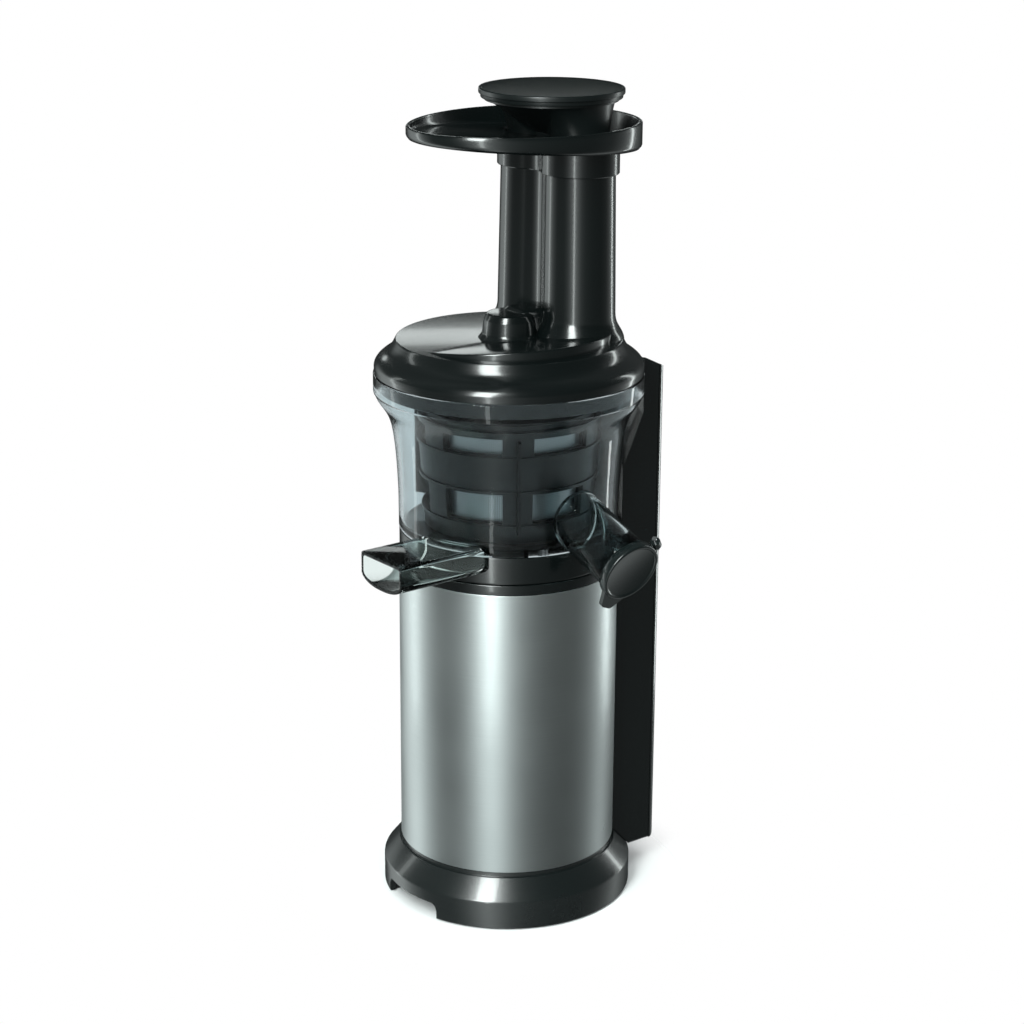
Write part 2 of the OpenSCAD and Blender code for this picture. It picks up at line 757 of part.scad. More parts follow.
module column_screws() color([0.3, 0.3, 0.3]) for (p = column_places)
  translate([p[0], column_back, p[1]]) rotate([90, 0, 0]) {
    translate([0, 0, -screw_head_h]) cylinder(r = screw_head_r, h = screw_head_h);
    cylinder(r = screw_r, h = screw_len / 2);
  }

module cord_inlet() color([0.06, 0.06, 0.06]) translate([0, column_back + inlet_out, inlet_z])
  rotate([90, 0, 0]) difference() {
    union() {
      cylinder(r = inlet_r - run_gap, h = inlet_len);
      translate([0, 0, inlet_out - over]) cylinder(r = inlet_r + over, h = over);
    }
    translate([0, 0, -over]) cylinder(r = inlet_bore_r, h = inlet_len + 2 * over);
  }

module control_board() color([0.1, 0.35, 0.2]) translate([-board_w / 2, board_y, board_z]) {
  cube([board_w, board_t, board_len]);
  translate([board_w / 4, board_t - over, board_len / 3]) cube([board_w / 3, board_t * 3, board_len / 5]);
  translate([board_w / 2, board_t - over, board_len * 3 / 4]) rotate([-90, 0, 0])
    cylinder(r = board_w / 7, h = board_t * 3);
}

// Moulded case behind the rocker, open at the back face
module switch_body() color([0.1, 0.1, 0.1]) translate([0, column_back - column_wall, switch_z])
  rotate([90, 0, 0]) difference() {
    translate([-switch_w / 2 - switch_wall, -switch_h / 2 - switch_wall, 0])
      cube([switch_w + 2 * switch_wall, switch_h + 2 * switch_wall, switch_depth]);
    translate([-switch_w / 2, -switch_h / 2, -over]) cube([switch_w, switch_h, switch_depth - switch_wall + over]);
    translate([-switch_w, 0, rocker_axis_in]) rotate([0, 90, 0])
      cylinder(r = rocker_pin_r + run_gap, h = 2 * switch_w);
  }
rocker_y = column_back - column_wall - rocker_axis_in;

module switch_rocker() color([0.15, 0.15, 0.15]) translate([0, rocker_y, switch_z]) {
  half = switch_h / 2 - rocker_room;
  face = column_wall + rocker_axis_in;
  translate([-switch_w / 2 + fit_gap, 0, 0]) rotate([90, 0, 90])
    linear_extrude(switch_w - 2 * fit_gap)
      polygon(concat([[face - rocker_edge, half]],
        arc(-face - half, 0, 2 * face + half, rocker_bow, -rocker_bow, 8),
        [[face - rocker_edge, -half], [-rocker_pin_r / 2, -half / 2], [-2 * rocker_pin_r, 0],
        [-rocker_pin_r / 2, half / 2]]));
  translate([-switch_w / 2 - switch_wall, 0, 0]) rotate([0, 90, 0])
    cylinder(r = rocker_pin_r, h = switch_w + 2 * switch_wall);
}

module motor_stator() color([0.45, 0.45, 0.47]) translate([0, 0, stator_low]) difference() {
  cylinder(r = stator_r, h = stator_len);
  translate([0, 0, -over]) cylinder(r = rotor_r + air_gap, h = stator_len + 2 * over);
  for (i = [0:slot_count - 1]) rotate([0, 0, 360 * i / slot_count])
    translate([(winding_in_r + winding_out_r) / 2, 0, -over])
      cylinder(r = winding_w / 2 - over, h = stator_len + 2 * over);
}

module motor_windings() color([0.72, 0.42, 0.2]) {
  for (z = [stator_low - winding_h, stator_low + stator_len]) translate([0, 0, z])
    ring(winding_out_r, winding_in_r, winding_h);
}

// Spider that holds the lower bearing and hangs from the gearbox by three long legs
module motor_bracket() color([0.6, 0.62, 0.63]) difference() {
  union() {
    translate([0, 0, bracket_z]) cylinder(r = bearing_r + bracket_t, h = bearing_h);
    for (i = [0:2]) rotate([0, 0, 120 * i + 60]) {
      translate([0, -bracket_arm_w / 2, bracket_z]) cube([stator_r + bracket_t, bracket_arm_w, bracket_t]);
      translate([stator_r, -bracket_arm_w / 2, bracket_z])
        cube([bracket_t, bracket_arm_w, gear_base_z - bracket_z]);
    }
  }
  translate([0, 0, bracket_z - over]) cylinder(r = bearing_r, h = bearing_h + 2 * over);
}

module motor_bearings() color([0.8, 0.8, 0.82]) {
  for (z = [bracket_z, gear_base_z - bearing_drop]) translate([0, 0, z]) ring(bearing_r, shaft_r, bearing_h);
}

module motor_rotor() color([0.5, 0.5, 0.52]) {
  translate([0, 0, stator_low]) cylinder(r = rotor_r, h = stator_len);
  translate([0, 0, fan_z]) cylinder(r = shaft_r - run_gap, h = layer_one_z + layer_h - fan_z);
}

module motor_pinion() color([0.75, 0.7, 0.5]) translate([0, 0, layer_one_z])
  spur_gear(pinion_teeth, mod_one, layer_h, shaft_r - run_gap, gear_one_at);

module cooling_fan() color([0.85, 0.85, 0.8]) translate([0, 0, fan_z]) difference() {
  union() {
    cylinder(r = fan_hub_r, h = fan_h);
    translate([0, 0, fan_h - fan_plate_t]) cylinder(r = fan_r, h = fan_plate_t);
    for (i = [0:fan_blades - 1]) rotate([0, 0, 360 * i / fan_blades])
      translate([fan_hub_r - over, -fan_blade_t / 2, 0]) cube([fan_r - fan_hub_r, fan_blade_t, fan_h - over]);
  }
  translate([0, 0, -over]) cylinder(r = shaft_r - run_gap, h = fan_h + 2 * over);
}

module gearbox_base() color([0.55, 0.57, 0.58]) difference() {
  union() {
    translate([0, 0, gear_base_z]) cylinder(r = gearbox_r, h = plate_t);
    translate([0, 0, gear_base_z - bearing_drop]) cylinder(r = bearing_r + bracket_t, h = plate_t);
  }
  translate([0, 0, gear_base_z - bearing_drop - over]) cylinder(r = bearing_r, h = bearing_h + over);
  translate([0, 0, gear_base_z]) cylinder(r = bearing_r, h = plate_t + over);
  for (p = [[gear_one_x, gear_one_y], [gear_two_x, gear_two_y]]) translate([p[0], p[1], gear_base_z - over])
    cylinder(r = pin_r, h = plate_t + 2 * over);
  for (p = gearbox_places) translate([p[0], p[1], gear_base_z - over]) cylinder(r = screw_r, h = plate_t + 2 * over);
}

module gearbox_cover() color([0.55, 0.57, 0.58]) {
  low = gear_base_z + plate_t;
  difference() {
    union() {
      translate([0, 0, low]) cylinder(r = gearbox_r, h = gear_top_z + plate_t - low);
      translate([0, 0, gear_top_z]) cylinder(r = drive_r + 2 * bush_wall, h = bush_low_h);
    }
    translate([0, 0, low - over]) cylinder(r = gearbox_r - gearbox_wall, h = gear_top_z - low + over);
    translate([0, 0, gear_top_z - over]) cylinder(r = drive_r + bush_wall, h = deck_z);
  }
  for (p = gearbox_places) translate([p[0], p[1], low]) ring(screw_head_r + over, screw_r, screw_len);
}

module gearbox_screws() color([0.6, 0.6, 0.6]) screws(gearbox_places, gear_base_z);

module gear_pins() color([0.75, 0.75, 0.77]) for (p = [[gear_one_x, gear_one_y], [gear_two_x, gear_two_y]])
  translate([p[0], p[1], gear_base_z]) cylinder(r = pin_r, h = gear_top_z - gear_base_z);

// Compound gear: a wheel in the lower layer and a pinion in the layer above
module cluster(wheel_teeth, wheel_mod, wheel_turn, small_mod, small_turn) {
  spur_gear(wheel_teeth, wheel_mod, layer_h, pin_r + run_gap, wheel_turn);
  translate([0, 0, layer_h]) ring(mod_one * pinion_teeth / 2, pin_r + run_gap, layer_gap);
  translate([0, 0, layer_h + layer_gap]) spur_gear(pinion_teeth, small_mod, layer_h, pin_r + run_gap, small_turn);
}

module first_gear() color([0.9, 0.88, 0.8]) translate([gear_one_x, gear_one_y, layer_one_z])
  cluster(wheel_one_teeth, mod_one, gear_one_at + 180 + 180 / wheel_one_teeth, mod_two, gear_dir);

module second_gear() color([0.9, 0.88, 0.8]) translate([gear_two_x, gear_two_y, layer_two_z])
  cluster(wheel_two_teeth, mod_two, gear_dir + 180 + 180 / wheel_two_teeth, mod_three, gear_two_at + 180);

module output_gear() color([0.75, 0.7, 0.5]) translate([0, 0, layer_three_z])
  spur_gear(output_teeth, mod_three, layer_h, drive_r, gear_two_at + 180 / output_teeth);

module output_bearing() color([0.7, 0.55, 0.3]) {
  translate([0, 0, gear_top_z]) ring(drive_r + bush_wall, drive_r + run_gap, bush_low_h);
  translate([0, 0, deck_z]) ring(drive_r + bush_wall, drive_r + run_gap, bush_h);
}

module drive_shaft() color([0.78, 0.8, 0.82]) {
  translate([0, 0, layer_three_z]) cylinder(r = drive_r, h = hex_z - layer_three_z);
  translate([0, 0, hex_z - over]) cylinder(r = hex_flats / sqrt(3), h = hex_len + over, $fn = 6);
}

// Profile of the clear wall, as points from the floor up, set in by a margin
function wall_points(inset) = [for (i = [0:len(wall_z_shares) - 1])
  [bowl_r + (rim_r - bowl_r) * flare_shares[i] - inset, bowl_z + bowl_h * wall_z_shares[i]]];
function reversed(list) = [for (i = [len(list) - 1:-1:0]) list[i]];

port_sink = 1.8;
port_share = 0.6;

// Solid that the bowl's outside fills, grown by a margin
module bowl_solid(grow) {
  rotate_extrude() polygon(concat([[0, bowl_z]], wall_points(-grow), [[0, rim_z]]));
}

module bowl() color([0.55, 0.62, 0.66, 0.45]) difference() {
  inner = [for (p = wall_points(bowl_wall)) if (p[1] > bowl_z + floor_t) p];
  rotate_extrude() polygon(concat([[hub_bore_r, bowl_z]], wall_points(0), reversed(inner),
    [[bowl_r - bowl_wall, bowl_z + floor_t], [hub_r, bowl_z + floor_t],
    [hub_r, bowl_z + floor_t + bowl_hub_h], [hub_bore_r, bowl_z + floor_t + bowl_hub_h]]));
  pulp_frame(-pulp_reach * port_share) cylinder(r = pulp_r - pulp_wall, h = pulp_reach);
  translate([spout_shift - spout_w / 2 + spout_wall, -spout_reach, bowl_z + floor_t - port_sink])
    cube([spout_w - 2 * spout_wall, spout_reach - bowl_r / 2, spout_top - spout_wall - bowl_z - floor_t + port_sink]);
  for (p = idler_places) translate([p[0], p[1], bowl_z + floor_t / 2]) cylinder(r = idler_pin_r, h = floor_t);
}

// Black band under the bowl, with the pockets that turn under the deck's lugs
module bowl_band() color([0.05, 0.05, 0.05]) difference() {
  out = sleeve_r - band_step;
  translate([0, 0, band_z]) ring(out, out - band_wall, bowl_z - band_z);
  translate([spout_shift - spout_w / 2 - fit_gap, -spout_reach, spout_top - spout_mid_h - fit_gap])
    cube([spout_w + 2 * fit_gap, spout_reach - bowl_r / 2, bowl_z]);
}

module bowl_seal() color([0.8, 0.8, 0.78]) translate([0, 0, bowl_z]) difference() {
  union() {
    cylinder(r = hub_bore_r - run_gap, h = hex_z - bowl_z - over);
    translate([0, 0, -over]) cylinder(r = hub_bore_r + seal_lip, h = over);
  }
  translate([0, 0, -2 * over]) cylinder(r = drive_r + run_gap, h = hex_len);
}

// Mouth of the juice spout: flat top, straight sides and a round bottom
function spout_points(inset) = let (w = spout_w / 2 - inset, low = spout_mid_h - inset)
  concat([[-w, -inset], [-w, -spout_side_h + inset / 2]],
    [for (i = [1:spout_steps - 1]) let (s = -1 + 2 * i / spout_steps)
      [w * s, -(spout_side_h - inset / 2) - (low - spout_side_h + inset / 2) * pow(1 - pow(abs(s), spout_square_share), spout_round_share)]],
    [[w, -spout_side_h + inset / 2], [w, -inset]]);

module juice_spout() color([0.55, 0.62, 0.66, 0.45]) difference() {
  translate([spout_shift, 0, spout_top]) rotate([90, 0, 0]) linear_extrude(spout_reach)
    polygon(spout_points(0));
  difference() {
    translate([spout_shift, 0, spout_top]) rotate([90, 0, 0]) linear_extrude(spout_reach + over)
      polygon(spout_points(spout_wall));
    translate([0, 0, band_z - over]) cylinder(r = bowl_r + spout_wall, h = band_h);
  }
  bowl_solid(run_gap);
  translate([0, 0, band_z - over]) cylinder(r = sleeve_r - band_step - band_wall, h = bowl_z);
}

// The hinge lies in the plane of the tube's mouth, at this turn about the tube's axis
hinge_turn = 90 + hinge_at;
barrel_w = hinge_len - 2 * (hinge_lug_t + fit_gap);

module hinge_lug(reach) rotate([-90, 0, 0]) mirror([0, 1, 0]) linear_extrude(hinge_lug_t)
  polygon(concat([[0, -2 * hinge_r]], arc(reach, 0, hinge_r, -90, 180, 12),
    [[reach - hinge_r, -cap_fit], [0, -cap_fit]]));

module pulp_tube() color([0.55, 0.62, 0.66, 0.45]) difference() {
  union() {
    pulp_frame(-pulp_reach / 2) cylinder(r = pulp_r, h = pulp_reach / 2);
    pulp_frame() rotate([0, 0, hinge_turn])
      for (y = [-hinge_len / 2, hinge_len / 2 - hinge_lug_t]) translate([pulp_r - pulp_wall / 2, y, 0])
        hinge_lug(hinge_out - pulp_r + pulp_wall / 2);
  }
  pulp_frame(-pulp_reach) cylinder(r = pulp_r - pulp_wall, h = 2 * pulp_reach);
  bowl_solid(run_gap);
  pulp_frame() rotate([0, 0, hinge_turn]) translate([hinge_out, -hinge_len, 0])
    rotate([-90, 0, 0]) cylinder(r = hinge_pin_r, h = 2 * hinge_len);
}

module pulp_cap() color([0.2, 0.24, 0.24]) pulp_frame(cap_fit) difference() {
  union() {
    cylinder(r = cap_r, h = cap_t);
    rotate([0, 0, hinge_turn]) {
      translate([0, -barrel_w / 2, 0]) cube([hinge_out, barrel_w, cap_t / 2 - cap_fit]);
      translate([hinge_out, -barrel_w / 2, -cap_fit]) rotate([-90, 0, 0]) cylinder(r = hinge_r, h = barrel_w);
    }
    rotate([0, 0, 90 + tab_at]) translate([0, -tab_w / 2, cap_t / 3]) cube([cap_r + tab_len, tab_w, cap_t / 2]);
  }
  translate([0, 0, -over]) cylinder(r = cap_r - cap_skirt - pulp_wall, h = over + cap_inset);
  rotate([0, 0, hinge_turn]) translate([hinge_out, -hinge_len, -cap_fit])
    rotate([-90, 0, 0]) cylinder(r = hinge_pin_r + run_gap, h = 2 * hinge_len);
}

module cap_pin() color([0.8, 0.8, 0.8]) pulp_frame() rotate([0, 0, hinge_turn])
  translate([hinge_out, -hinge_len / 2, 0]) rotate([-90, 0, 0]) cylinder(r = hinge_pin_r, h = hinge_len);

module cap_gasket() color([0.7, 0.7, 0.68]) pulp_frame(cap_fit)
  ring(cap_r - cap_skirt - pulp_wall - run_gap, pulp_r - pulp_wall - 2 * fit_gap - gasket_lip, cap_inset);

idler_places = [[idler_dist, 0], [-idler_dist, 0]];

module idler_pins() color([0.75, 0.75, 0.77]) for (p = idler_places)
  translate([p[0], p[1], bowl_z + floor_t / 2]) cylinder(r = idler_pin_r, h = bowl_gear_z + bowl_gear_h - bowl_z - floor_t / 2);

module idler(place) color([0.85, 0.85, 0.82]) translate([place[0], place[1], bowl_gear_z])
  spur_gear(idler_teeth, mod_bowl, bowl_gear_h, idler_pin_r + run_gap, 180 / idler_teeth);
module idler_left() idler(idler_places[1]);
module idler_right() idler(idler_places[0]);

// Two rows of windows between ribs, cut through a conical wall
module windows(low, h, out_r) {
  for (i = [0:rib_count - 1]) translate([0, 0, low])
    sector(core_low_r, out_r, rib_at + 180 / rib_count + 360 * i / rib_count, 180 / rib_count - rib_half, h);
}

module strainer_frame() color([0.12, 0.13, 0.13]) {
  floor_z = strainer_z + strainer_floor_t;
  low = strainer_cone(strainer_z);
  top = strainer_cone(strainer_top_z);
  difference() {
    rotate_extrude() polygon([[screw_neck_r + slip_gap, strainer_z], [low, strainer_z], [top, strainer_top_z],
      [rim_seat_r, strainer_top_z], [rim_seat_r, strainer_top_z + strainer_flange_t],
      [top - strainer_wall, strainer_top_z + strainer_flange_t], [top - strainer_wall, strainer_top_z],
      [strainer_cone(floor_z) - strainer_wall, floor_z], [screw_neck_r + slip_gap, floor_z]]);
    windows(wiper_z + wiper_low_h + 3 * over, belt_low_z - wiper_z - wiper_low_h - 4 * over, wiper_top_r);
    windows(belt_low_z + belt_h + over, wiper_top_z - belt_low_z - belt_h - wiper_top_h - over, wiper_top_r);
    translate([low - strainer_wall - slot_margin - slot_w, -slot_len / 2, strainer_z - over])
      cube([slot_w, slot_len, strainer_floor_t + 2 * over]);
  }
}
rim_seat_r = lookup(strainer_top_z, [for (p = wall_points(bowl_wall)) [p[1], p[0]]]) - fit_gap;

module strainer_mesh() color([0.7, 0.72, 0.72]) {
  low = wiper_z + wiper_low_h + 2 * over;
  high = wiper_top_z - wiper_top_h + over;
  translate([0, 0, low]) cone_ring(strainer_cone(low) - strainer_wall - run_gap,
    strainer_cone(high) - strainer_wall - run_gap, mesh_t, high - low);
}

// Outline of the wiper's wall, with a raised band where its rows of windows begin and end
band_levels = [wiper_z + wiper_low_h, belt_low_z, belt_low_z + belt_h - wiper_band_h];
function wiper_band(z) = [[wiper_cone(z), z], [wiper_cone(z) + wiper_band_t, z],
  [wiper_cone(z) + wiper_band_t, z + wiper_band_h], [wiper_cone(z + wiper_band_h), z + wiper_band_h]];

module wiper_frame() color([0.08, 0.09, 0.09]) difference() {
  gear_top = wiper_z + bowl_gear_h;
  rotate_extrude() polygon(concat([[ring_solid_r, wiper_z], [wiper_low_r, wiper_z]],
    [for (z = band_levels) for (p = wiper_band(z)) p],
    [[wiper_top_r, wiper_top_z], [wiper_top_r - wiper_wall, wiper_top_z],
    [wiper_cone(gear_top) - wiper_wall, gear_top], [ring_solid_r, gear_top]]));
  translate([0, 0, wiper_z - over]) linear_extrude(bowl_gear_h + 2 * over) rotate([0, 0, 180 / ring_teeth])
    polygon(gear_points(ring_teeth, mod_bowl, dedendum_share, addendum_share, -lash));
  windows(wiper_z + wiper_low_h + wiper_band_h + fit_gap,
    belt_low_z - wiper_z - wiper_low_h - wiper_band_h - 2 * fit_gap, wiper_top_r + 2 * over);
  windows(belt_low_z + belt_h + fit_gap, wiper_top_z - belt_low_z - belt_h - wiper_top_h, wiper_top_r + 2 * over);
}

module wiper_blades() color([0.75, 0.76, 0.74]) for (i = [0:rib_count / 2 - 1])
  rotate([0, 0, rib_at + 720 * i / rib_count]) translate([0, blade_t / 2, 0]) rotate([90, 0, 0])
    linear_extrude(blade_t) difference() {
      polygon([[wiper_cone(blade_low_z) + wiper_band_t, blade_low_z], [bowl_r - bowl_wall - blade_gap, blade_low_z],
        [bowl_r - bowl_wall - blade_gap, wiper_top_z - wiper_top_h], [wiper_cone(wiper_top_z) + wiper_band_t, wiper_top_z - wiper_top_h]]);
    }

module juicing_screw() color([0.13, 0.14, 0.14]) {
  rings = [for (j = [0:screw_rings]) let (s = j / screw_rings, z = screw_z + s * (screw_top_z - screw_z))
    for (i = [0:screw_steps - 1]) let (a = 360 * i / screw_steps, r = screw_radius(z, s, -a))
      [r * cos(a), r * sin(a), z]];
  walls = [for (j = [0:screw_rings - 1]) for (i = [0:screw_steps - 1])
    let (n = (i + 1) % screw_steps, b = j * screw_steps, t = b + screw_steps)
    for (f = [[b + i, t + i, t + n], [b + i, t + n, b + n]]) f];
  last = screw_rings * screw_steps;
  low = len(rings);
  caps = [for (i = [0:screw_steps - 1]) let (n = (i + 1) % screw_steps)
    for (f = [[low, i, n], [low + 1, last + n, last + i]]) f];
  difference() {
    polyhedron(points = concat(rings, [[0, 0, screw_z], [0, 0, screw_top_z]]), faces = concat(walls, caps));
    translate([0, 0, screw_z - over]) cylinder(r = stem_r, h = over + stem_h + fit_gap);
  }
}

// Gear skirt under the screw, with the hexagonal socket for the drive shaft
module screw_gear() color([0.8, 0.8, 0.78]) difference() {
  union() {
    translate([0, 0, bowl_gear_z]) linear_extrude(bowl_gear_h)
      polygon(gear_points(screw_teeth, mod_bowl, addendum_share, dedendum_share, lash));
    translate([0, 0, bowl_gear_z + bowl_gear_h]) cylinder(r = screw_neck_r, h = screw_z - bowl_gear_z - bowl_gear_h);
    translate([0, 0, screw_z - over]) cylinder(r = stem_r, h = stem_h + over);
  }
  translate([0, 0, bowl_gear_z - over]) cylinder(r = screw_bore_r, h = bowl_hub_h + slip_gap + over);
  translate([0, 0, bowl_gear_z]) cylinder(r = (hex_flats + fit_gap) / sqrt(3), h = hex_z + hex_len + fit_gap - bowl_gear_z, $fn = 6);
}

module screw_pin() color([0.78, 0.8, 0.82]) translate([0, 0, screw_top_z])
  cylinder(r = pin_top_r, h = pin_top_h);

module lid() color([0.04, 0.05, 0.05]) {
  outer = [for (i = [0:len(lid_z_shares) - 1])
    [plate_r + (lid_r - plate_r) * lid_reach_shares[i], lid_z + lid_h * lid_z_shares[i]]];
  plug = rim_r - bowl_wall - plug_gap;
  inner = [for (i = [2:len(lid_z_shares) - 1])
    [plate_r + (lid_r - plate_r) * lid_reach_shares[i] - lid_corner_share * lid_wall, lid_z + lid_h * lid_z_shares[i] - lid_wall]];
  difference() {
    union() {
      rotate_extrude() polygon(concat([[0, plate_z - lid_wall]], reversed(inner),
        [[plug - lid_wall, lid_z + lid_wall], [plug - lid_wall, lid_z - lid_plug_h],
        [plug, lid_z - lid_plug_h], [plug, lid_z]], outer, [[0, plate_z]]));
      intersection() {
        translate([0, 0, plate_z - lid_wall / 2]) cylinder(r = ramp_r, h = boss_h);
        translate([0, 0, plate_z]) rotate([0, -ramp_slope, 0])
          translate([0, -lid_r, -lid_r]) cube([2 * lid_r, 2 * lid_r, lid_r]);
      }
      rotate_extrude() polygon([[0, plate_z - lid_wall], [boss_r + boss_foot, plate_z - lid_wall],
        [boss_r + boss_foot, plate_z], [boss_r + boss_foot / 5, plate_z + boss_foot_h],
        [boss_r, boss_z - boss_top_h], [boss_r - boss_top_in, boss_z], [0, boss_z]]);
      translate([0, 0, plate_z - pin_hub_h]) cylinder(r = pin_hub_r, h = pin_hub_h);
    }
    translate([0, 0, plate_z - lid_wall - over])
      kidney_taper(kidney_w - tube_wall, top_share, tube_h + lid_wall + 2 * over);
    translate([0, 0, plate_z]) kidney_taper(kidney_w + tube_foot + run_gap, 1, boss_h);
    translate([0, 0, plate_z - pin_hub_h - over])
      cylinder(r = pin_top_r + run_gap, h = screw_top_z + pin_top_h + fit_gap - plate_z + pin_hub_h + over);
  }
}

// Tube on the lid that guides the food to the screw, flared where it meets the lid's top
module feed_tube() color([0.04, 0.05, 0.05]) difference() {
  union() {
    translate([0, 0, plate_z - lid_wall]) kidney_taper(kidney_w, top_share, tube_h + lid_wall);
    translate([0, 0, plate_z - lid_wall / 2]) kidney_taper(kidney_w + tube_foot, foot_share, tube_foot_h);
  }
  translate([0, 0, plate_z - lid_wall - over])
    kidney_taper(kidney_w - tube_wall, top_share, tube_h + lid_wall + 2 * over);
  translate([0, 0, plate_z - lid_h]) cylinder(r = lid_r, h = lid_h);
  translate([0, 0, plate_z - over]) cylinder(r = boss_r + boss_foot + run_gap, h = boss_foot_h + over);
}

module hopper_tray() color([0.04, 0.05, 0.05]) {
  low = tray_z - tray_floor_drop;
  size = 2 * tray_half_l;
  difference() {
    union() {
      intersection() {
        translate([0, 0, low - tray_half_l]) linear_extrude(tray_z - low + tray_half_l) polygon(tray_points(0));
        above_floor(low, tray_slope, size);
      }
      intersection() {
        translate([0, 0, low - tray_half_l]) linear_extrude(tray_half_l + tray_floor_drop / 2)
          polygon(tray_points(tray_edge));
        above_floor(low - tray_edge_h, tray_slope, size);
      }
      translate([0, 0, tube_z - collar_low])
        kidney_prism(kidney_w + collar_gap + collar_wall, collar_low + tray_rise - tray_floor_drop);
    }
    intersection() {
      translate([0, 0, low - tray_half_l]) linear_extrude(tray_z + tray_half_l) polygon(tray_points(tray_wall));
      above_floor(low + tray_floor_up, tray_slope, size);
    }
    translate([0, 0, tube_z - collar_low - over]) kidney_prism(kidney_w + collar_gap, collar_low + over);
    translate([0, 0, tube_z - over]) kidney_prism(kidney_w - tube_wall / 2, tray_rise + over);
  }
}

pusher_w = kidney_w - tube_wall - pusher_gap;
neck_z = tray_z - tray_floor_drop + neck_rise;

module pusher_shape(w, r) {
  translate([0, 0, plate_z + pusher_end]) kidney_prism(w, neck_z - plate_z - pusher_end + over);
  hull() {
    translate([0, 0, neck_z]) kidney_prism(w, over);
    translate([0, head_mid, neck_z + neck_h - over]) cylinder(r = r, h = over, $fn = 2 * hull_fn);
  }
}

module pusher_body() color([0.07, 0.08, 0.08]) difference() {
  pusher_shape(pusher_w, neck_r);
  translate([0, 0, plate_z + pusher_end + pusher_wall])
    kidney_prism(pusher_w - pusher_wall, tray_rise + tube_h);
}

module pusher_head() color([0.07, 0.08, 0.08]) translate([0, head_mid, head_z - head_t])
  rotate_extrude() polygon(concat([[0, -neck_seat], [head_r - 3 * head_step, -neck_seat],
    [head_r - 3 * head_step, 0], [head_r - head_step, 0], [head_r - head_step, head_step_h], [head_r, head_step_h]],
    arc(head_r - head_round, head_t - head_round, head_round, 0, 90, 4), [[0, head_t]]));
neck_seat = head_z - head_t - neck_z - neck_h;

base_ring();
bottom_cover();
rubber_feet();
cover_screws();
steel_sleeve();
inner_frame();
vibration_mounts();
deck_ring();
deck_seal();
column_shell();
column_cover();
column_screws();
cord_inlet();
control_board();
switch_body();
switch_rocker();
motor_stator();
motor_windings();
motor_bracket();
motor_bearings();
motor_rotor();
motor_pinion();
cooling_fan();
gearbox_base();
gearbox_cover();
gearbox_screws();
gear_pins();
first_gear();
second_gear();
output_gear();
output_bearing();
drive_shaft();
bowl();
bowl_band();
bowl_seal();
juice_spout();
pulp_tube();
pulp_cap();
cap_pin();
cap_gasket();
idler_pins();
idler_left();
idler_right();
strainer_frame();
strainer_mesh();
wiper_frame();
wiper_blades();
juicing_screw();
screw_gear();
screw_pin();
lid();
feed_tube();
hopper_tray();
pusher_body();
pusher_head();
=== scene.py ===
"""Looks of an upright cold press juicer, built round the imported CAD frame.

The object stands on the table with its axis along Z. Lengths of the object are in
millimetres and are turned into metres where a mesh is made; the studio's are in metres.
Each sub-assembly is a frozen dataclass: its fields hold its sizes and outlines, and its
methods build its pieces as numpy surfaces and let each one ride on its CAD body.
An outline's rows are (radius, height) or (x, y), with a corner's rounding as a third value.
"""

import json
import logging
import math
from dataclasses import dataclass
from enum import Enum
from typing import Any, Callable, Mapping, Sequence

import bpy
import numpy as np
from mathutils import Matrix, Vector


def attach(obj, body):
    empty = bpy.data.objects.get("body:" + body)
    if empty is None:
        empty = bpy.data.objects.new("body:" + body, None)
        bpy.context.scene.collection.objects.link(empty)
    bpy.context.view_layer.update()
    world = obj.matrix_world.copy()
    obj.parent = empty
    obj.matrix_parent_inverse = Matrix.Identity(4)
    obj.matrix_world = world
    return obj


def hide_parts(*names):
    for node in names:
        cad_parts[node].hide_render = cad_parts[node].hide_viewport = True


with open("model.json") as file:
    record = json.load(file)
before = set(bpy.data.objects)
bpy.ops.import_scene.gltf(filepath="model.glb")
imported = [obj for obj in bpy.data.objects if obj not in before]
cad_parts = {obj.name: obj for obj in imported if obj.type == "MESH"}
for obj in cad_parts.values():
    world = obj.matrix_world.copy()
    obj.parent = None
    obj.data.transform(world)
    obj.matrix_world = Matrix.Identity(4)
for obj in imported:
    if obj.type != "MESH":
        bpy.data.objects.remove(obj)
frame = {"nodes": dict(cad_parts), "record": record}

logging.basicConfig(level=logging.INFO, format="%(levelname)s %(message)s")
log = logging.getLogger("juicer")

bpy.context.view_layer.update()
MM = 0.001
TAU = 2.0 * math.pi
HALF_TURN = 180.0
POLE_SIZE = 1e-6  # a ring smaller than this is one point

Outline = tuple[tuple[float, ...], ...]
Surface = tuple[np.ndarray, list]
Tree, Socket = bpy.types.NodeTree, bpy.types.NodeSocket

# Sizes that several sub-assemblies share
BOWL_LOW, BOWL_TALL, BOWL_R, BOWL_FLARE = 203.9, 83.1, 57.7, 12.8
BOWL_LEVEL_SHARES = (0, 0.23, 0.375, 0.52, 0.65, 0.72, 0.777, 0.82, 0.85, 0.872, 1)
BOWL_FLARE_SHARES = (0, 0.01, 0.055, 0.125, 0.24, 0.36, 0.54, 0.76, 0.93, 1, 1)
WIPER_LOW, WIPER_TALL, WIPER_R, WIPER_FLARE = 207.5, 59.5, 44.0, 4.1
PIPE_TIP, PIPE_TILT = (95.2, 0, 205.8), 111.8
KIDNEY_R, KIDNEY_HALF, TOP_SHARE = 36.0, 32.0, 0.94748
TUBE_LOW, TUBE_TOP = 302.6, 399.9
RIB_FIRST, RIB_HALF, RIB_COUNT = -32, 9.75, 6


class Kind(Enum):
    """Families of finish, each with its own shader detail."""

    GLOSS = "gloss"
    SATIN = "satin"
    STEEL = "steel"
    METAL = "metal"
    CLEAR = "clear"
    RUBBER = "rubber"
    MESH = "mesh"
    FLOOR = "floor"


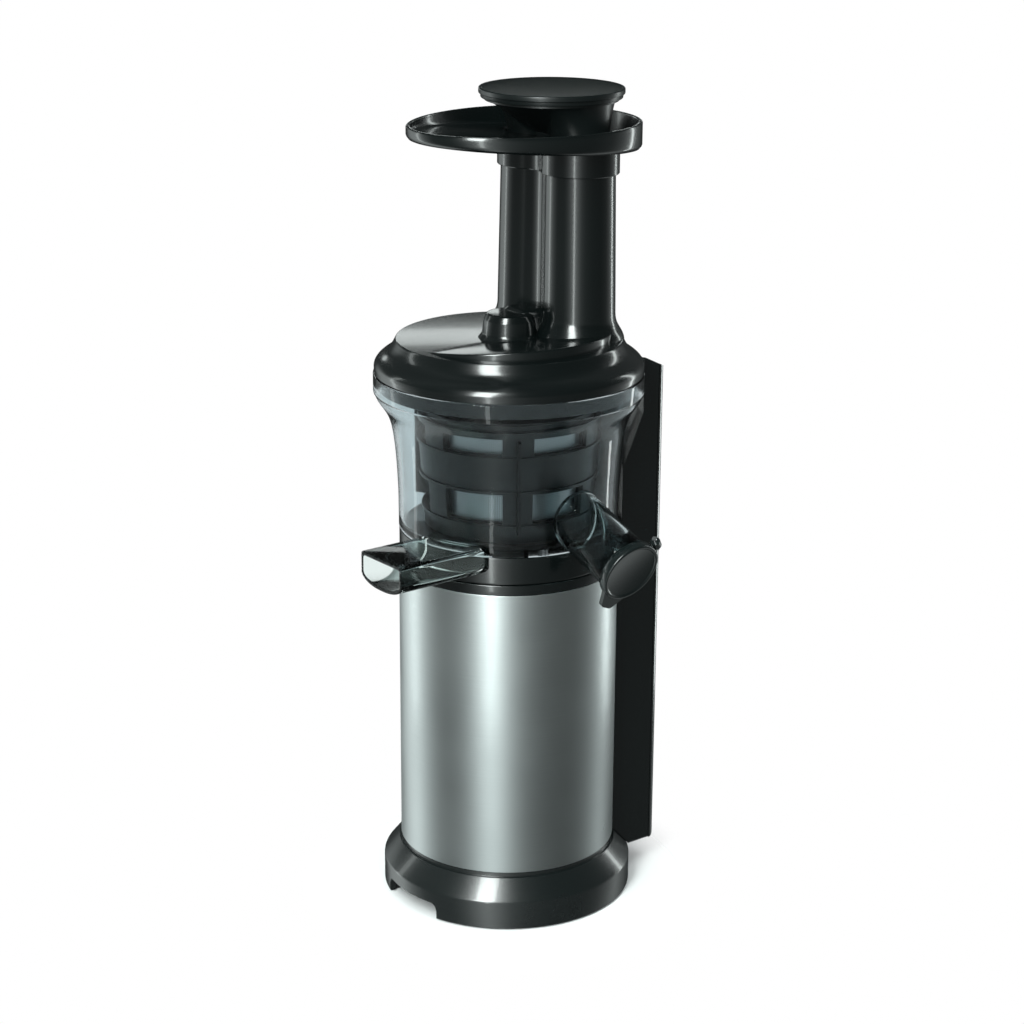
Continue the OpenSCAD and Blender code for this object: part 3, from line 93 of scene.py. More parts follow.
class Plan(Enum):
    """Outlines that the tray's rings follow."""

    BEAN = "bean"
    EGG = "egg"


@dataclass(frozen=True)
class Finish:
    """One finish: its family, colour and roughness, and the detail of its surface.

    The grain is the fine noise's scale, the wear says how far smudges change the roughness,
    and the bump is the strength of the fine grain. The coat is the weight of a clear layer,
    and specular the level of plain reflections.
    """

    name: str
    kind: Kind
    color: tuple[float, float, float]
    roughness: float
    grain: float = 900.0
    wear: float = 0.06
    bump: float = 0.02
    coat: float = 0.0
    specular: float = 0.5


def fill(tree: Tree, node: bpy.types.Node, inputs: Mapping[Any, Any]) -> None:
    """Fills a node's inputs: a socket is linked, anything else becomes the input's own value.

    Args:
        tree: The node tree.
        node: The node.
        inputs: Sockets or values by the input's name or number.
    """
    for key, value in inputs.items():
        if isinstance(value, Socket):
            tree.links.new(value, node.inputs[key])
        else:
            node.inputs[key].default_value = value


def add_node(tree: Tree, kind: str, inputs: Mapping[Any, Any] | None = None,
             **settings: Any) -> bpy.types.Node:
    """Adds a shader node.

    Args:
        tree: The node tree.
        kind: The node's type without its first word.
        inputs: Sockets or values by the input's name or number.
        **settings: Properties that are set before the inputs are filled.

    Returns:
        The new node.
    """
    node = tree.nodes.new("ShaderNode" + kind)
    for key, value in settings.items():
        setattr(node, key, value)
    fill(tree, node, inputs or {})
    return node


def add_maths(tree: Tree, operation: str, *values: Any) -> Socket:
    """Adds a math node.

    Args:
        tree: The node tree.
        operation: The operation's name.
        *values: A socket or number for each input.

    Returns:
        The socket with the result.
    """
    return add_node(tree, "Math", dict(enumerate(values)), operation=operation).outputs[0]


def add_ramp(tree: Tree, factor: Socket,
             stops: Sequence[tuple[float, Sequence[float]]]) -> Socket:
    """Adds a colour ramp.

    Args:
        tree: The node tree.
        factor: The socket that the ramp reads.
        stops: Position and colour of each stop, in rising order.

    Returns:
        The socket with the colour.
    """
    ramp = add_node(tree, "ValToRGB", {0: factor})
    elements = ramp.color_ramp.elements
    elements[0].position, elements[1].position = stops[0][0], stops[-1][0]
    for position, _ in stops[1:-1]:
        elements.new(position)
    for element, (_, color) in zip(elements, stops):
        element.color = (*color, 1)
    return ramp.outputs[0]


class Finishes:
    """All finishes of the juicer by name, each built once on first use."""

    TABLE: tuple[Finish, ...] = (
        Finish("black_gloss", Kind.GLOSS, (0.0025, 0.004, 0.004), 0.2, 1400, 0.04, 0.003, 0.35, 0.6),
        Finish("black_satin", Kind.SATIN, (0.004, 0.006, 0.006), 0.3, 2600, 0.04, 0.0012),
        Finish("black_matte", Kind.SATIN, (0.012, 0.014, 0.014), 0.55, 2800, 0.08, 0.03),
        Finish("rubber_black", Kind.RUBBER, (0.012, 0.012, 0.012), 0.75, 2200, 0.1, 0.12),
        Finish("brushed_steel", Kind.STEEL, (0.58, 0.62, 0.62), 0.3, 2400, 0.06, 0.03),
        Finish("screw_steel", Kind.METAL, (0.62, 0.63, 0.64), 0.24, 2600, 0.08, 0.03),
        Finish("stator_iron", Kind.METAL, (0.2, 0.2, 0.21), 0.45, 3800, 0.1, 0.1),
        Finish("copper_wire", Kind.METAL, (0.6, 0.27, 0.12), 0.38, 3000, 0.1, 0.2),
        Finish("cast_alloy", Kind.METAL, (0.5, 0.52, 0.54), 0.5, 1500, 0.1, 0.15),
        Finish("brass", Kind.METAL, (0.7, 0.52, 0.24), 0.3, 1800, 0.08, 0.04),
        Finish("gear_plastic", Kind.SATIN, (0.76, 0.74, 0.66), 0.45, 1800, 0.06, 0.05),
        Finish("board_green", Kind.SATIN, (0.03, 0.18, 0.08), 0.4, 1200, 0.08, 0.05),
        Finish("smoked_clear", Kind.CLEAR, (0.62, 0.70, 0.72), 0.06, 45, 0.03, 0.001),
        # Spout: a lighter copy of the smoked clear, so the spout is painted light
        Finish("spout_clear_painted_light", Kind.CLEAR, (0.80, 0.89, 0.87), 0.06, 45, 0.03, 0.001),
        # Pulp tube: a darker copy of the smoked clear, so the tube is painted shade
        Finish("pipe_clear_painted_shade", Kind.CLEAR, (0.44, 0.52, 0.53), 0.06, 45, 0.03, 0.001),
        Finish("base_satin", Kind.SATIN, (0.005, 0.0075, 0.0075), 0.26, 2600, 0.04, 0.0012, 0.4, 0.9),
        Finish("cap_grey", Kind.GLOSS, (0.005, 0.008, 0.008), 0.22, 1400, 0.05, 0.003, 0.3),
        Finish("silicone", Kind.RUBBER, (0.62, 0.62, 0.58), 0.5, 1600, 0.08, 0.05),
        Finish("mesh_steel", Kind.MESH, (0.42, 0.45, 0.46), 0.36, 1100, 0.08, 0.2),
        Finish("floor", Kind.FLOOR, (0.93, 0.94, 0.94), 0.22, 40, 0.02, 0.001),
    )
    SMUDGES = {"Scale": 22.0, "Detail": 6.0, "Roughness": 0.62}
    SMUDGE_MEAN, SMUDGE_SPAN, GRAIN_DETAIL, BUMP_DISTANCE = 0.5, 2, 3.0, 0.0002
    COAT_ROUGHNESS, CLEAR_IOR = 0.08, 1.25
    BRUSH_STRETCH, BRUSH_DARK, BRUSH_ANISOTROPY = 2.2, 0.93, 0.6
    BRUSH_LINES, BRUSH_EDGES = {"Scale": 1.6, "Detail": 4.0}, (0.3, 0.7)
    HOLE_TURNS, HOLE_EDGES, HOLE_COLOR = 44.0, (0.2, 0.32), (0.03, 0.035, 0.04)

    def __init__(self) -> None:
        """Prepares the empty store of built materials."""
        self._built: dict[str, bpy.types.Material] = {}
        self._by_name = {f.name: f for f in self.TABLE}
        self._wear = self._wear_group()

    def get(self, name: str) -> bpy.types.Material:
        """Gives a finish's material and builds it on first use.

        Args:
            name: The finish's name in TABLE.

        Returns:
            The Blender material.
        """
        if name not in self._built:
            self._built[name] = self._build(self._by_name[name])
            log.info("finish %s", name)
        return self._built[name]

    def _wear_group(self) -> bpy.types.ShaderNodeTree:
        """Makes the shared node group that varies roughness and surface height.

        The smudge output is broad noise about zero, and the height output is fine grain.

        Returns:
            The node group.
        """
        group = bpy.data.node_groups.new("surface_wear", "ShaderNodeTree")
        for name, way, kind in (("Vector", "INPUT", "Vector"), ("Grain", "INPUT", "Float"),
                                ("Smudge", "OUTPUT", "Float"), ("Height", "OUTPUT", "Float")):
            group.interface.new_socket(name, in_out=way, socket_type="NodeSocket" + kind)
        start, end = group.nodes.new("NodeGroupInput"), group.nodes.new("NodeGroupOutput")
        place, grain = start.outputs["Vector"], start.outputs["Grain"]
        broad = add_node(group, "TexNoise", {"Vector": place, **self.SMUDGES})
        fine = add_node(group, "TexNoise",
                        {"Vector": place, "Scale": grain, "Detail": self.GRAIN_DETAIL})
        smudge = add_maths(group, "SUBTRACT", broad.outputs[0], self.SMUDGE_MEAN)
        fill(group, end, {"Smudge": smudge, "Height": fine.outputs[0]})
        return group

    def _build(self, finish: Finish) -> bpy.types.Material:
        """Builds one material from its finish.

        Args:
            finish: The finish to build.

        Returns:
            The finished material.
        """
        mat = bpy.data.materials.new(finish.name)
        mat.use_nodes = True
        tree = mat.node_tree
        shader = tree.nodes["Principled BSDF"]
        coords = add_node(tree, "TexCoord").outputs["Object"]
        wear = add_node(tree, "Group", {"Vector": coords, "Grain": finish.grain},
                        node_tree=self._wear)
        rough = add_maths(tree, "MULTIPLY_ADD", wear.outputs["Smudge"],
                          finish.wear * self.SMUDGE_SPAN, finish.roughness)
        height = wear.outputs["Height"]
        fill(tree, shader, {"Base Color": (*finish.color, 1.0), "Roughness": rough,
                            "Coat Weight": finish.coat, "Coat Roughness": self.COAT_ROUGHNESS,
                            "Specular IOR Level": finish.specular})
        if finish.kind in (Kind.STEEL, Kind.METAL, Kind.MESH):
            shader.inputs["Metallic"].default_value = 1.0
        if finish.kind is Kind.STEEL:
            height = self._brush(tree, coords, shader, finish)
        if finish.kind is Kind.MESH:
            height = self._holes(tree, coords, shader, finish)
        if finish.kind is Kind.CLEAR:
            shader.inputs["Transmission Weight"].default_value = 1.0
            shader.inputs["IOR"].default_value = self.CLEAR_IOR
        bump = add_node(tree, "Bump", {"Strength": finish.bump, "Distance": self.BUMP_DISTANCE,
                                       "Height": height})
        tree.links.new(bump.outputs[0], shader.inputs["Normal"])
        return mat

    @staticmethod
    def _polar(tree: Tree, coords: Socket, around: float,
               upward: float) -> Socket:
        """Unrolls object coordinates into the angle about Z and the height, each times a factor.

        Args:
            tree: The material's node tree.
            coords: The socket with object coordinates.
            around: Factor of the angle, which is in radians.
            upward: Factor of the height, which is in metres.

        Returns:
            The socket with the unrolled coordinates.
        """
        split = add_node(tree, "SeparateXYZ", {0: coords})
        turn = add_maths(tree, "ARCTAN2", split.outputs[1], split.outputs[0])
        unrolled = (add_maths(tree, "MULTIPLY", turn, around),
                    add_maths(tree, "MULTIPLY", split.outputs[2], upward))
        return add_node(tree, "CombineXYZ", dict(enumerate(unrolled))).outputs[0]

    def _brush(self, tree: Tree, coords: Socket,
               shader: bpy.types.Node, finish: Finish) -> Socket:
        """Adds brushed lines round the sleeve: noise that is stretched along the circumference.

        Args:
            tree: The material's node tree.
            coords: The socket with object coordinates.
            shader: The Principled node.
            finish: The finish that is built.

        Returns:
            The socket with the height of the brushed lines.
        """
        unrolled = self._polar(tree, coords, 1.0, finish.grain * self.BRUSH_STRETCH)
        lines = add_node(tree, "TexNoise", {"Vector": unrolled, **self.BRUSH_LINES}).outputs[0]
        dark = [c * self.BRUSH_DARK for c in finish.color]
        tangent = add_node(tree, "Tangent", direction_type="RADIAL", axis="Z")
        fill(tree, shader, {
            "Base Color": add_ramp(tree, lines, list(zip(self.BRUSH_EDGES, (dark, finish.color)))),
            "Tangent": tangent.outputs[0], "Anisotropic": self.BRUSH_ANISOTROPY})
        return lines

    def _holes(self, tree: Tree, coords: Socket,
               shader: bpy.types.Node, finish: Finish) -> Socket:
        """Adds the fine etched openings: even rows of dark dots on the unrolled cone.

        Args:
            tree: The material's node tree.
            coords: The socket with object coordinates.
            shader: The Principled node.
            finish: The finish that is built.

        Returns:
            The socket with the height of the sheet between the openings.
        """
        unrolled = self._polar(tree, coords, self.HOLE_TURNS, finish.grain)
        cells = add_node(tree, "TexVoronoi", {"Vector": unrolled, "Scale": 1.0, "Randomness": 0.0},
                         voronoi_dimensions="2D")
        color = add_ramp(tree, cells.outputs["Distance"],
                         list(zip(self.HOLE_EDGES, (self.HOLE_COLOR, finish.color))))
        tree.links.new(color, shader.inputs["Base Color"])
        return color


FINISH = Finishes()
# Finishes of the scene's own and the slots that they stand for; the spout's and the pipe's are
# lighter and darker copies of the smoked clear, painted light and painted shade
SLOT_OF = {"spout_clear_painted_light": "smoked_clear", "pipe_clear_painted_shade": "smoked_clear",
           "base_satin": "black_satin"}


def rounded(points: Sequence[Sequence[float]], closed: bool = False, steps: int = 5) -> np.ndarray:
    """Rounds the corners of an outline: each corner becomes a tangent arc of its own radius.

    Args:
        points: Corners as (a, b) or (a, b, radius); a missing radius leaves the corner sharp.
        closed: Whether the last corner joins the first.
        steps: Segments of each arc.

    Returns:
        The rounded outline, one (a, b) row for each point.
    """
    nearly_straight, most_of_side = 0.02, 0.49
    count, out = len(points), []
    for i, corner in enumerate(points):
        here = np.array(corner[:2], float)
        radius = corner[2] if len(corner) > 2 else 0.0
        if radius <= 0 or (not closed and i in (0, count - 1)):
            out.append(here)
            continue
        before = np.array(points[i - 1][:2], float) - here
        after = np.array(points[(i + 1) % count][:2], float) - here
        la, lb = np.linalg.norm(before), np.linalg.norm(after)
        ua, ub = before / la, after / lb
        half = math.acos(float(np.clip(ua @ ub, -1, 1))) / 2
        if half > math.pi / 2 - nearly_straight:
            out.append(here)
            continue
        reach = min(radius / math.tan(half), most_of_side * la, most_of_side * lb)
        arc_r = reach * math.tan(half)
        middle = here + (ua + ub) / np.linalg.norm(ua + ub) * (arc_r / math.sin(half))
        a0, a1 = here + ua * reach - middle, here + ub * reach - middle
        t0, t1 = math.atan2(a0[1], a0[0]), math.atan2(a1[1], a1[0])
        turn = (t1 - t0 + math.pi) % TAU - math.pi
        t = t0 + turn * np.arange(steps + 1) / steps
        out.extend(middle + arc_r * np.stack([np.cos(t), np.sin(t)], 1))
    return np.array(out)


def circle_arc(cx: float, cy: float, r: float, start: float, end: float, steps: int) -> np.ndarray:
    """Gives points along an arc: centre plus radius times cosine and sine of the angle.

    Args:
        cx: Centre's first coordinate.
        cy: Centre's second coordinate.
        r: Radius.
        start: First angle in degrees.
        end: Last angle in degrees.
        steps: Segments.

    Returns:
        One row for each point.
    """
    a = np.radians(np.linspace(start, end, steps + 1))
    return np.stack([cx + r * np.cos(a), cy + r * np.sin(a)], 1)


def circle(r: float, count: int) -> np.ndarray:
    """Gives a circle about the origin: radius times cosine and sine of even turns.

    Args:
        r: Radius.
        count: Number of points.

    Returns:
        A closed outline, anticlockwise.
    """
    a = np.linspace(0, TAU, count, endpoint=False)
    return np.stack([r * np.cos(a), r * np.sin(a)], 1)


def turned(outline: np.ndarray, angle: float) -> np.ndarray:
    """Turns an outline about the origin: x cos - y sin and x sin + y cos.

    Args:
        outline: Rows of (x, y).
        angle: Turn in degrees.

    Returns:
        The turned outline.
    """
    c, s = math.cos(math.radians(angle)), math.sin(math.radians(angle))
    x, y = outline[:, 0], outline[:, 1]
    return np.stack([x * c - y * s, x * s + y * c], 1)


def spline(marks: Sequence[Sequence[float]], steps: int) -> np.ndarray:
    """Gives a smooth curve through marks: a cubic between each two, by their neighbours.

    Args:
        marks: Rows of (a, b).
        steps: Points for each stretch.

    Returns:
        The curve's points without the last mark.
    """
    p = np.array([marks[0], *marks, marks[-1]], float)
    p0, p1, p2, p3 = (p[i:len(p) - 3 + i, None] for i in range(4))
    t = np.linspace(0, 1, steps + 1)[:-1, None]
    curve = 0.5 * (2 * p1 + (p2 - p0) * t + (2 * p0 - 5 * p1 + 4 * p2 - p3) * t * t
                   + (3 * p1 - p0 - 3 * p2 + p3) * t ** 3)
    return curve.reshape(-1, 2)


def kidney(w: float, steps: int = 28) -> np.ndarray:
    """Gives the feed tube's kidney outline: an arc about the axis and its two round ends.

    Args:
        w: Half width in mm.
        steps: Segments of each of the four arcs.

    Returns:
        A closed outline, anticlockwise.
    """
    low, high, step = 90 - KIDNEY_HALF, 90 + KIDNEY_HALF, HALF_TURN / steps
    first, last = circle_arc(0, 0, KIDNEY_R, low, high, 1)
    return np.concatenate([
        circle_arc(0, 0, KIDNEY_R + w, low, high, steps),
        circle_arc(*last, w, high + step, high + HALF_TURN - step, steps - 2),
        circle_arc(0, 0, KIDNEY_R - w, high, low, steps),
        circle_arc(*first, w, low - HALF_TURN + step, low - step, steps - 2)])


def shrunk(outline: np.ndarray, share: float) -> np.ndarray:
    """Scales an outline evenly about the kidney's middle.

    Args:
        outline: Rows of (x, y).
        share: Scale.

    Returns:
        The scaled outline.
    """
    return (outline - (0, KIDNEY_R)) * share + (0, KIDNEY_R)


def at_height(outline: np.ndarray, z: float | np.ndarray) -> np.ndarray:
    """Lifts a flat outline to a height.

    Args:
        outline: Rows of (x, y).
        z: One height or one for each row.

    Returns:
        Rows of (x, y, z).
    """
    return np.column_stack([outline, np.broadcast_to(z, len(outline))])


def in_pipe(points: np.ndarray) -> np.ndarray:
    """Moves points from the pulp tube's frame, with Z out along it and X down, to the object's.

    Args:
        points: Rows of (x, y, z) in the tube's frame.

    Returns:
        The same points in the object's frame.
    """
    m = np.array(Matrix.Translation(PIPE_TIP) @ Matrix.Rotation(math.radians(PIPE_TILT), 4, "Y"))
    return points @ m[:3, :3].T + m[:3, 3]


def bowl_radius(z: float | np.ndarray) -> float | np.ndarray:
    """Outer radius of the clear bowl at a height: shares of the flare joined by straight lines."""
    share = np.interp((z - BOWL_LOW) / BOWL_TALL, BOWL_LEVEL_SHARES, BOWL_FLARE_SHARES)
    return BOWL_R + BOWL_FLARE * share


def wiper_radius(z: float) -> float:
    """Outer radius of the wiper's cone at a height, which grows evenly."""
    return WIPER_R + WIPER_FLARE * (z - WIPER_LOW) / WIPER_TALL


def add_mesh(name: str, verts: np.ndarray, faces: list, finish: str, body: str,
             replaces: Sequence[str] = (), sharp: float = 32.0) -> bpy.types.Object:
    """Makes one piece of the object from points and faces, with its faces turned outward.

    Args:
        name: The piece's name.
        verts: Rows of (x, y, z) in mm.
        faces: Lists of point numbers.
        finish: Name of its finish.
        body: CAD body that it rides on.
        replaces: CAD nodes that it stands for.
        sharp: Angle in degrees above which an edge stays sharp.

    Returns:
        The new object.
    """
    mesh = bpy.data.meshes.new(name)
    mesh.from_pydata((np.asarray(verts) * MM).tolist(), [], faces)
    mesh.validate(clean_customdata=False)
    places = np.array([v.co for v in mesh.vertices])
    fans = [places[list(poly.vertices)] for poly in mesh.polygons]
    if sum(float(np.sum(np.cross(p[1:-1], p[2:]) @ p[0])) for p in fans) < 0:
        mesh.flip_normals()
    mesh.shade_smooth()
    mesh.set_sharp_from_angle(angle=math.radians(sharp))
    obj = bpy.data.objects.new(name, mesh)
    bpy.context.scene.collection.objects.link(obj)
    mesh.materials.append(FINISH.get(finish))
    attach(obj, body)
    if replaces:
        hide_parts(*replaces)
    SLOT_OF.get(finish, finish)
    log.info("piece %s: %d faces", name, len(mesh.polygons))
    return obj


def compact(verts: np.ndarray, faces: Sequence[Sequence[int]]) -> Surface:
    """Leaves out the points that no face uses.

    Args:
        verts: Rows of (x, y, z).
        faces: Point numbers of each face.

    Returns:
        The points in use and the faces with new numbers.
    """
    used, numbers = np.unique(np.concatenate(faces), return_inverse=True)
    ends = np.cumsum([len(face) for face in faces])[:-1]
    return verts[used], [part.tolist() for part in np.split(numbers, ends)]


def loft(rings: Sequence[np.ndarray], joined: bool = False) -> Surface:
    """Skins a row of closed rings of equal length with quads.

    Args:
        rings: Rings of (x, y, z) rows; a ring whose points all agree becomes a pole.
        joined: Whether the last ring meets the first. Otherwise flat caps close both ends.

    Returns:
        The points and the faces.
    """
    verts = np.concatenate(rings)
    rows = np.arange(len(verts)).reshape(len(rings), -1)
    for row, ring in zip(rows, rings):
        if np.ptp(ring, axis=0).max() < POLE_SIZE:
            row[:] = row[0]
    low, high = (rows, np.roll(rows, -1, 0)) if joined else (rows[:-1], rows[1:])
    corners = [low, np.roll(low, -1, 1), np.roll(high, -1, 1), high]
    quads = np.stack(corners, 2).reshape(-1, 4)
    kept = quads != np.roll(quads, 1, 1)
    faces = [quad[keep] for quad, keep in zip(quads, kept) if keep.sum() > 2]
    if not joined:
        faces += [row for row in (rows[0][::-1], rows[-1]) if row[0] != row[-1]]
    return compact(verts, faces)


def lathe(profile: np.ndarray, segments: int = 192, closed: bool = True) -> Surface:
    """Turns a profile of (radius, height) rows about Z.

    Args:
        profile: The profile; an open one starts and ends on the axis.
        segments: Steps of the full turn.
        closed: Whether the profile is a closed loop.

    Returns:
        The points and the faces.
    """
    return loft([at_height(circle(r, segments), z) for r, z in profile], joined=closed)


def lattice(turns: np.ndarray, levels: np.ndarray, outer: Callable[[float], float],
            inner: Callable[[float], float], solid: np.ndarray) -> Surface:
    """Makes a round wall with openings from a grid of turns and levels.

    Args:
        turns: Angles in degrees of the grid's columns, going once round without the last.
        levels: Heights of the grid's rows.
        outer: Radius of the outer face at a height.
        inner: Radius of the inner face at a height.
        solid: Truth table of cells, columns by rows minus one.

    Returns:
        The points and the faces.
    """
    m, n = len(turns), len(levels)
    a, points = np.radians(turns), []
    for radius in (outer, inner):
        r = np.array([radius(z) for z in levels])
        grid = [np.outer(np.cos(a), r), np.outer(np.sin(a), r), np.broadcast_to(levels, (m, n))]
        points.append(np.stack(grid, 2).reshape(-1, 3))
    column, row = np.nonzero(solid)
    after, half = (column + 1) % m, m * n
    a0, b0 = column * n + row, after * n + row
    a1, b1 = a0 + 1, b0 + 1
    padded = np.pad(solid, ((0, 0), (1, 1)))
    everywhere = np.full(len(row), True)
    sides = (((a0, b0, b1, a1), everywhere),
             ((half + a1, half + b1, half + b0, half + a0), everywhere),
             ((a0, half + a0, half + b0, b0), ~padded[column, row]),
             ((a1, b1, half + b1, half + a1), ~padded[column, row + 2]),
             ((a0, a1, half + a1, half + a0), ~solid[column - 1, row]),
             ((b0, half + b0, half + b1, b1), ~solid[after, row]))
    faces = np.concatenate([np.stack(corners, 1)[where] for corners, where in sides])
    return compact(np.concatenate(points), faces)


def window_grid(windows: Outline, low: float, high: float) -> tuple:
    """Makes the grid of a wall with six windows in each row, between ribs at 60 degrees.

    Args:
        windows: Lowest and highest level of each row of windows.
        low: The wall's lowest level.
        high: The wall's highest level.

    Returns:
        The turns, the truth table of solid cells and the levels.
    """
    pitch, rib_steps, gap_steps, level_steps = 360 / RIB_COUNT, 6, 14, 4
    ribs = RIB_FIRST + pitch * np.arange(RIB_COUNT)[:, None]
    across = [np.linspace(-RIB_HALF, RIB_HALF, rib_steps + 1)[:-1],
              np.linspace(RIB_HALF, pitch - RIB_HALF, gap_steps + 1)[:-1]]
    turns = (ribs + np.concatenate(across)).ravel()
    open_turn = np.tile(np.repeat([False, True], [rib_steps, gap_steps]), RIB_COUNT)
    marks = sorted({low, high, *(z for row in windows for z in row)})
    stretches = [np.linspace(a, b, level_steps + 1) for a, b in zip(marks, marks[1:])]
    levels = np.unique(np.round(np.concatenate(stretches), 4))
    mids = (levels[1:] + levels[:-1]) / 2
    open_level = np.array([any(a < z < b for a, b in windows) for z in mids])
    return turns, ~(open_turn[:, None] & open_level[None, :]), levels


@dataclass(frozen=True)
class Housing:
    """Base, steel sleeve, deck and rear column, which all ride on the root body."""

    body: str = "housing"
    base_r: float = 67.1
    base_low: float = 0.6
    base_outline: Outline = (
        (67.1, 0.6, 0.8), (67.1, 15.8, 2.2), (58.7, 26.2, 0.5), (57.3, 26.2, 0.2), (57.3, 28.6),
        (56.8, 28.6), (56.8, 36, 0.5), (54.5, 36, 0.5), (54.5, 27), (46, 27), (46, 24), (56.5, 24),
        (64.1, 13), (64.1, 0.6, 0.5))
    arch_half: float = 21.2
    arch_top: float = 9.2
    arch_corner: float = 4.0
    arch_wall: float = 2.0
    hood_depths: tuple[float, ...] = (-62.5, -50.1)
    back_depths: tuple[float, ...] = (-50.1, -48.2)
    sleeve_outline: Outline = ((57.8, 28.7, 0.35), (57.8, 183.6, 0.35), (57.0, 183.6), (57.0, 28.7))
    deck_outline: Outline = (
        (0, 186.1), (53.9, 183.7), (53.9, 176.1), (56.9, 176.1), (56.9, 183.75),
        (57.65, 183.75, 0.3), (57.65, 188.8, 0.5), (57.2, 189.1, 0.3), (16, 189.1, 0.6),
        (16, 198.1, 0.8), (7.6, 198.1, 0.5), (7.6, 189), (0, 189))
    column_half: float = 35.0
    column_low: float = 14.5
    column_high: float = 310.0
    column_back: float = 72.9
    column_bevel: tuple[float, float] = (0.35, 0.4)
    column_front: Outline = (
        (14.5, 67.4), (15.8, 67.4), (26.5, 59), (26.6, 58.1), (183.7, 58.1), (186, 60), (234, 60),
        (262, 71.3), (300, 71.3))
    slope_back: float = 78.0
    slope_low: float = 284.2
    slope: float = 26.0

    def build(self) -> None:
        """Builds every piece of the housing."""
        self.base()
        self.arch()
        sleeve = rounded(self.sleeve_outline, closed=True)
        add_mesh("sleeve", *lathe(sleeve, 256), "brushed_steel", self.body, ["steel_sleeve"])
        deck = rounded(self.deck_outline)
        add_mesh("deck", *lathe(deck, closed=False), "black_gloss", self.body, ["deck_ring"])
        self.column()

    def base(self) -> None:
        """Base moulding: a turned profile whose lower edge is lifted in the finger arch."""
        profile = rounded(self.base_outline, closed=True)
        edge = math.asin(self.arch_half / self.base_r)
        inner, outer = np.linspace(-edge, edge, 41), np.linspace(edge, TAU - edge, 181)
        turns = np.concatenate([inner, outer])
        straight = self.arch_half - self.arch_corner
        past = np.maximum(0.0, np.abs(self.base_r * np.sin(turns)) - straight)
        arch = np.sqrt(np.maximum(0.0, self.arch_corner ** 2 - past ** 2))
        lift = np.where(np.arange(len(turns)) < len(inner),
                        self.arch_top - self.arch_corner + arch, self.base_low)
        r, z = profile[:, 0], np.maximum(profile[:, 1], lift[:, None])
        rings = np.stack([np.outer(np.sin(turns), r), -np.outer(np.cos(turns), r), z], 2)
        add_mesh("base_moulding", *loft(rings, joined=True), "base_satin", self.body, ["base_ring"])

    def arch(self) -> None:
        """Lining of the finger arch: its rounded hood and its back wall, each drawn along Y."""
        w, top, low, corner = self.arch_half, self.arch_top, self.base_low, self.arch_corner
        wide, high = w + self.arch_wall, top + self.arch_wall
        over = [(-wide, low), (-wide, high, corner), (wide, high, corner), (wide, low)]
        under = [(w, low), (w, top, corner), (-w, top, corner), (-w, low)]
        for name, outline, depths in (("arch_hood", over + under, self.hood_depths),
                                      ("arch_back", over, self.back_depths)):
            section = rounded(outline, closed=True)
            rows = [np.insert(section, 1, y, axis=1) for y in depths]
            add_mesh(name, *loft(rows), "black_matte", self.body)

    def column_ring(self, z: float, inset: float, lower: float) -> np.ndarray:
        """Gives the column's plan at a height: a round front, straight sides and a flat back.

        Args:
            z: Height, which the sloped top and the column's foot limit.
            inset: Even margin from the column's sides and front.
            lower: How far the sloped top is lowered.

        Returns:
            Rows of (x, y, z).
        """
        x = self.column_half - inset
        front = float(np.interp(z, *zip(*self.column_front))) + inset
        half = math.degrees(math.asin(x / front))
        (across, along), back = self.column_bevel, self.column_back
        plan = np.concatenate([circle_arc(0, 0, front, 90 + half, 90 - half, 24),
                               [(x, back - along), (x - across, back), (across - x, back),
                                (-x, back - along)]])
        rise = (self.slope_back - plan[:, 1]) * math.tan(math.radians(self.slope))
        return at_height(plan, np.clip(z, self.column_low, self.slope_low + rise - lower))

    def column(self) -> None:
        """Rear column: plans stacked in height, cut by the round front and the sloped top."""
        levels = [15.5, *np.linspace(17, 26, 6), 26.5, 26.7, 40, 80, 120, 160, 183.7, 186, 210,
                  233.5, 234.5, *np.linspace(237, 261, 9), *np.linspace(262, self.column_high, 25)]
        edge, low, high = 0.6, self.column_low, self.column_high
        steps = [(low, 1.2, edge), (low + 0.3, 0.35, edge), *((z, 0, edge) for z in levels),
                 (high, 0.2, 0.2), (high, 0.7, 0)]
        add_mesh("column", *loft([self.column_ring(*step) for step in steps]), "black_gloss",
                 self.body, ["column_shell"], sharp=24)


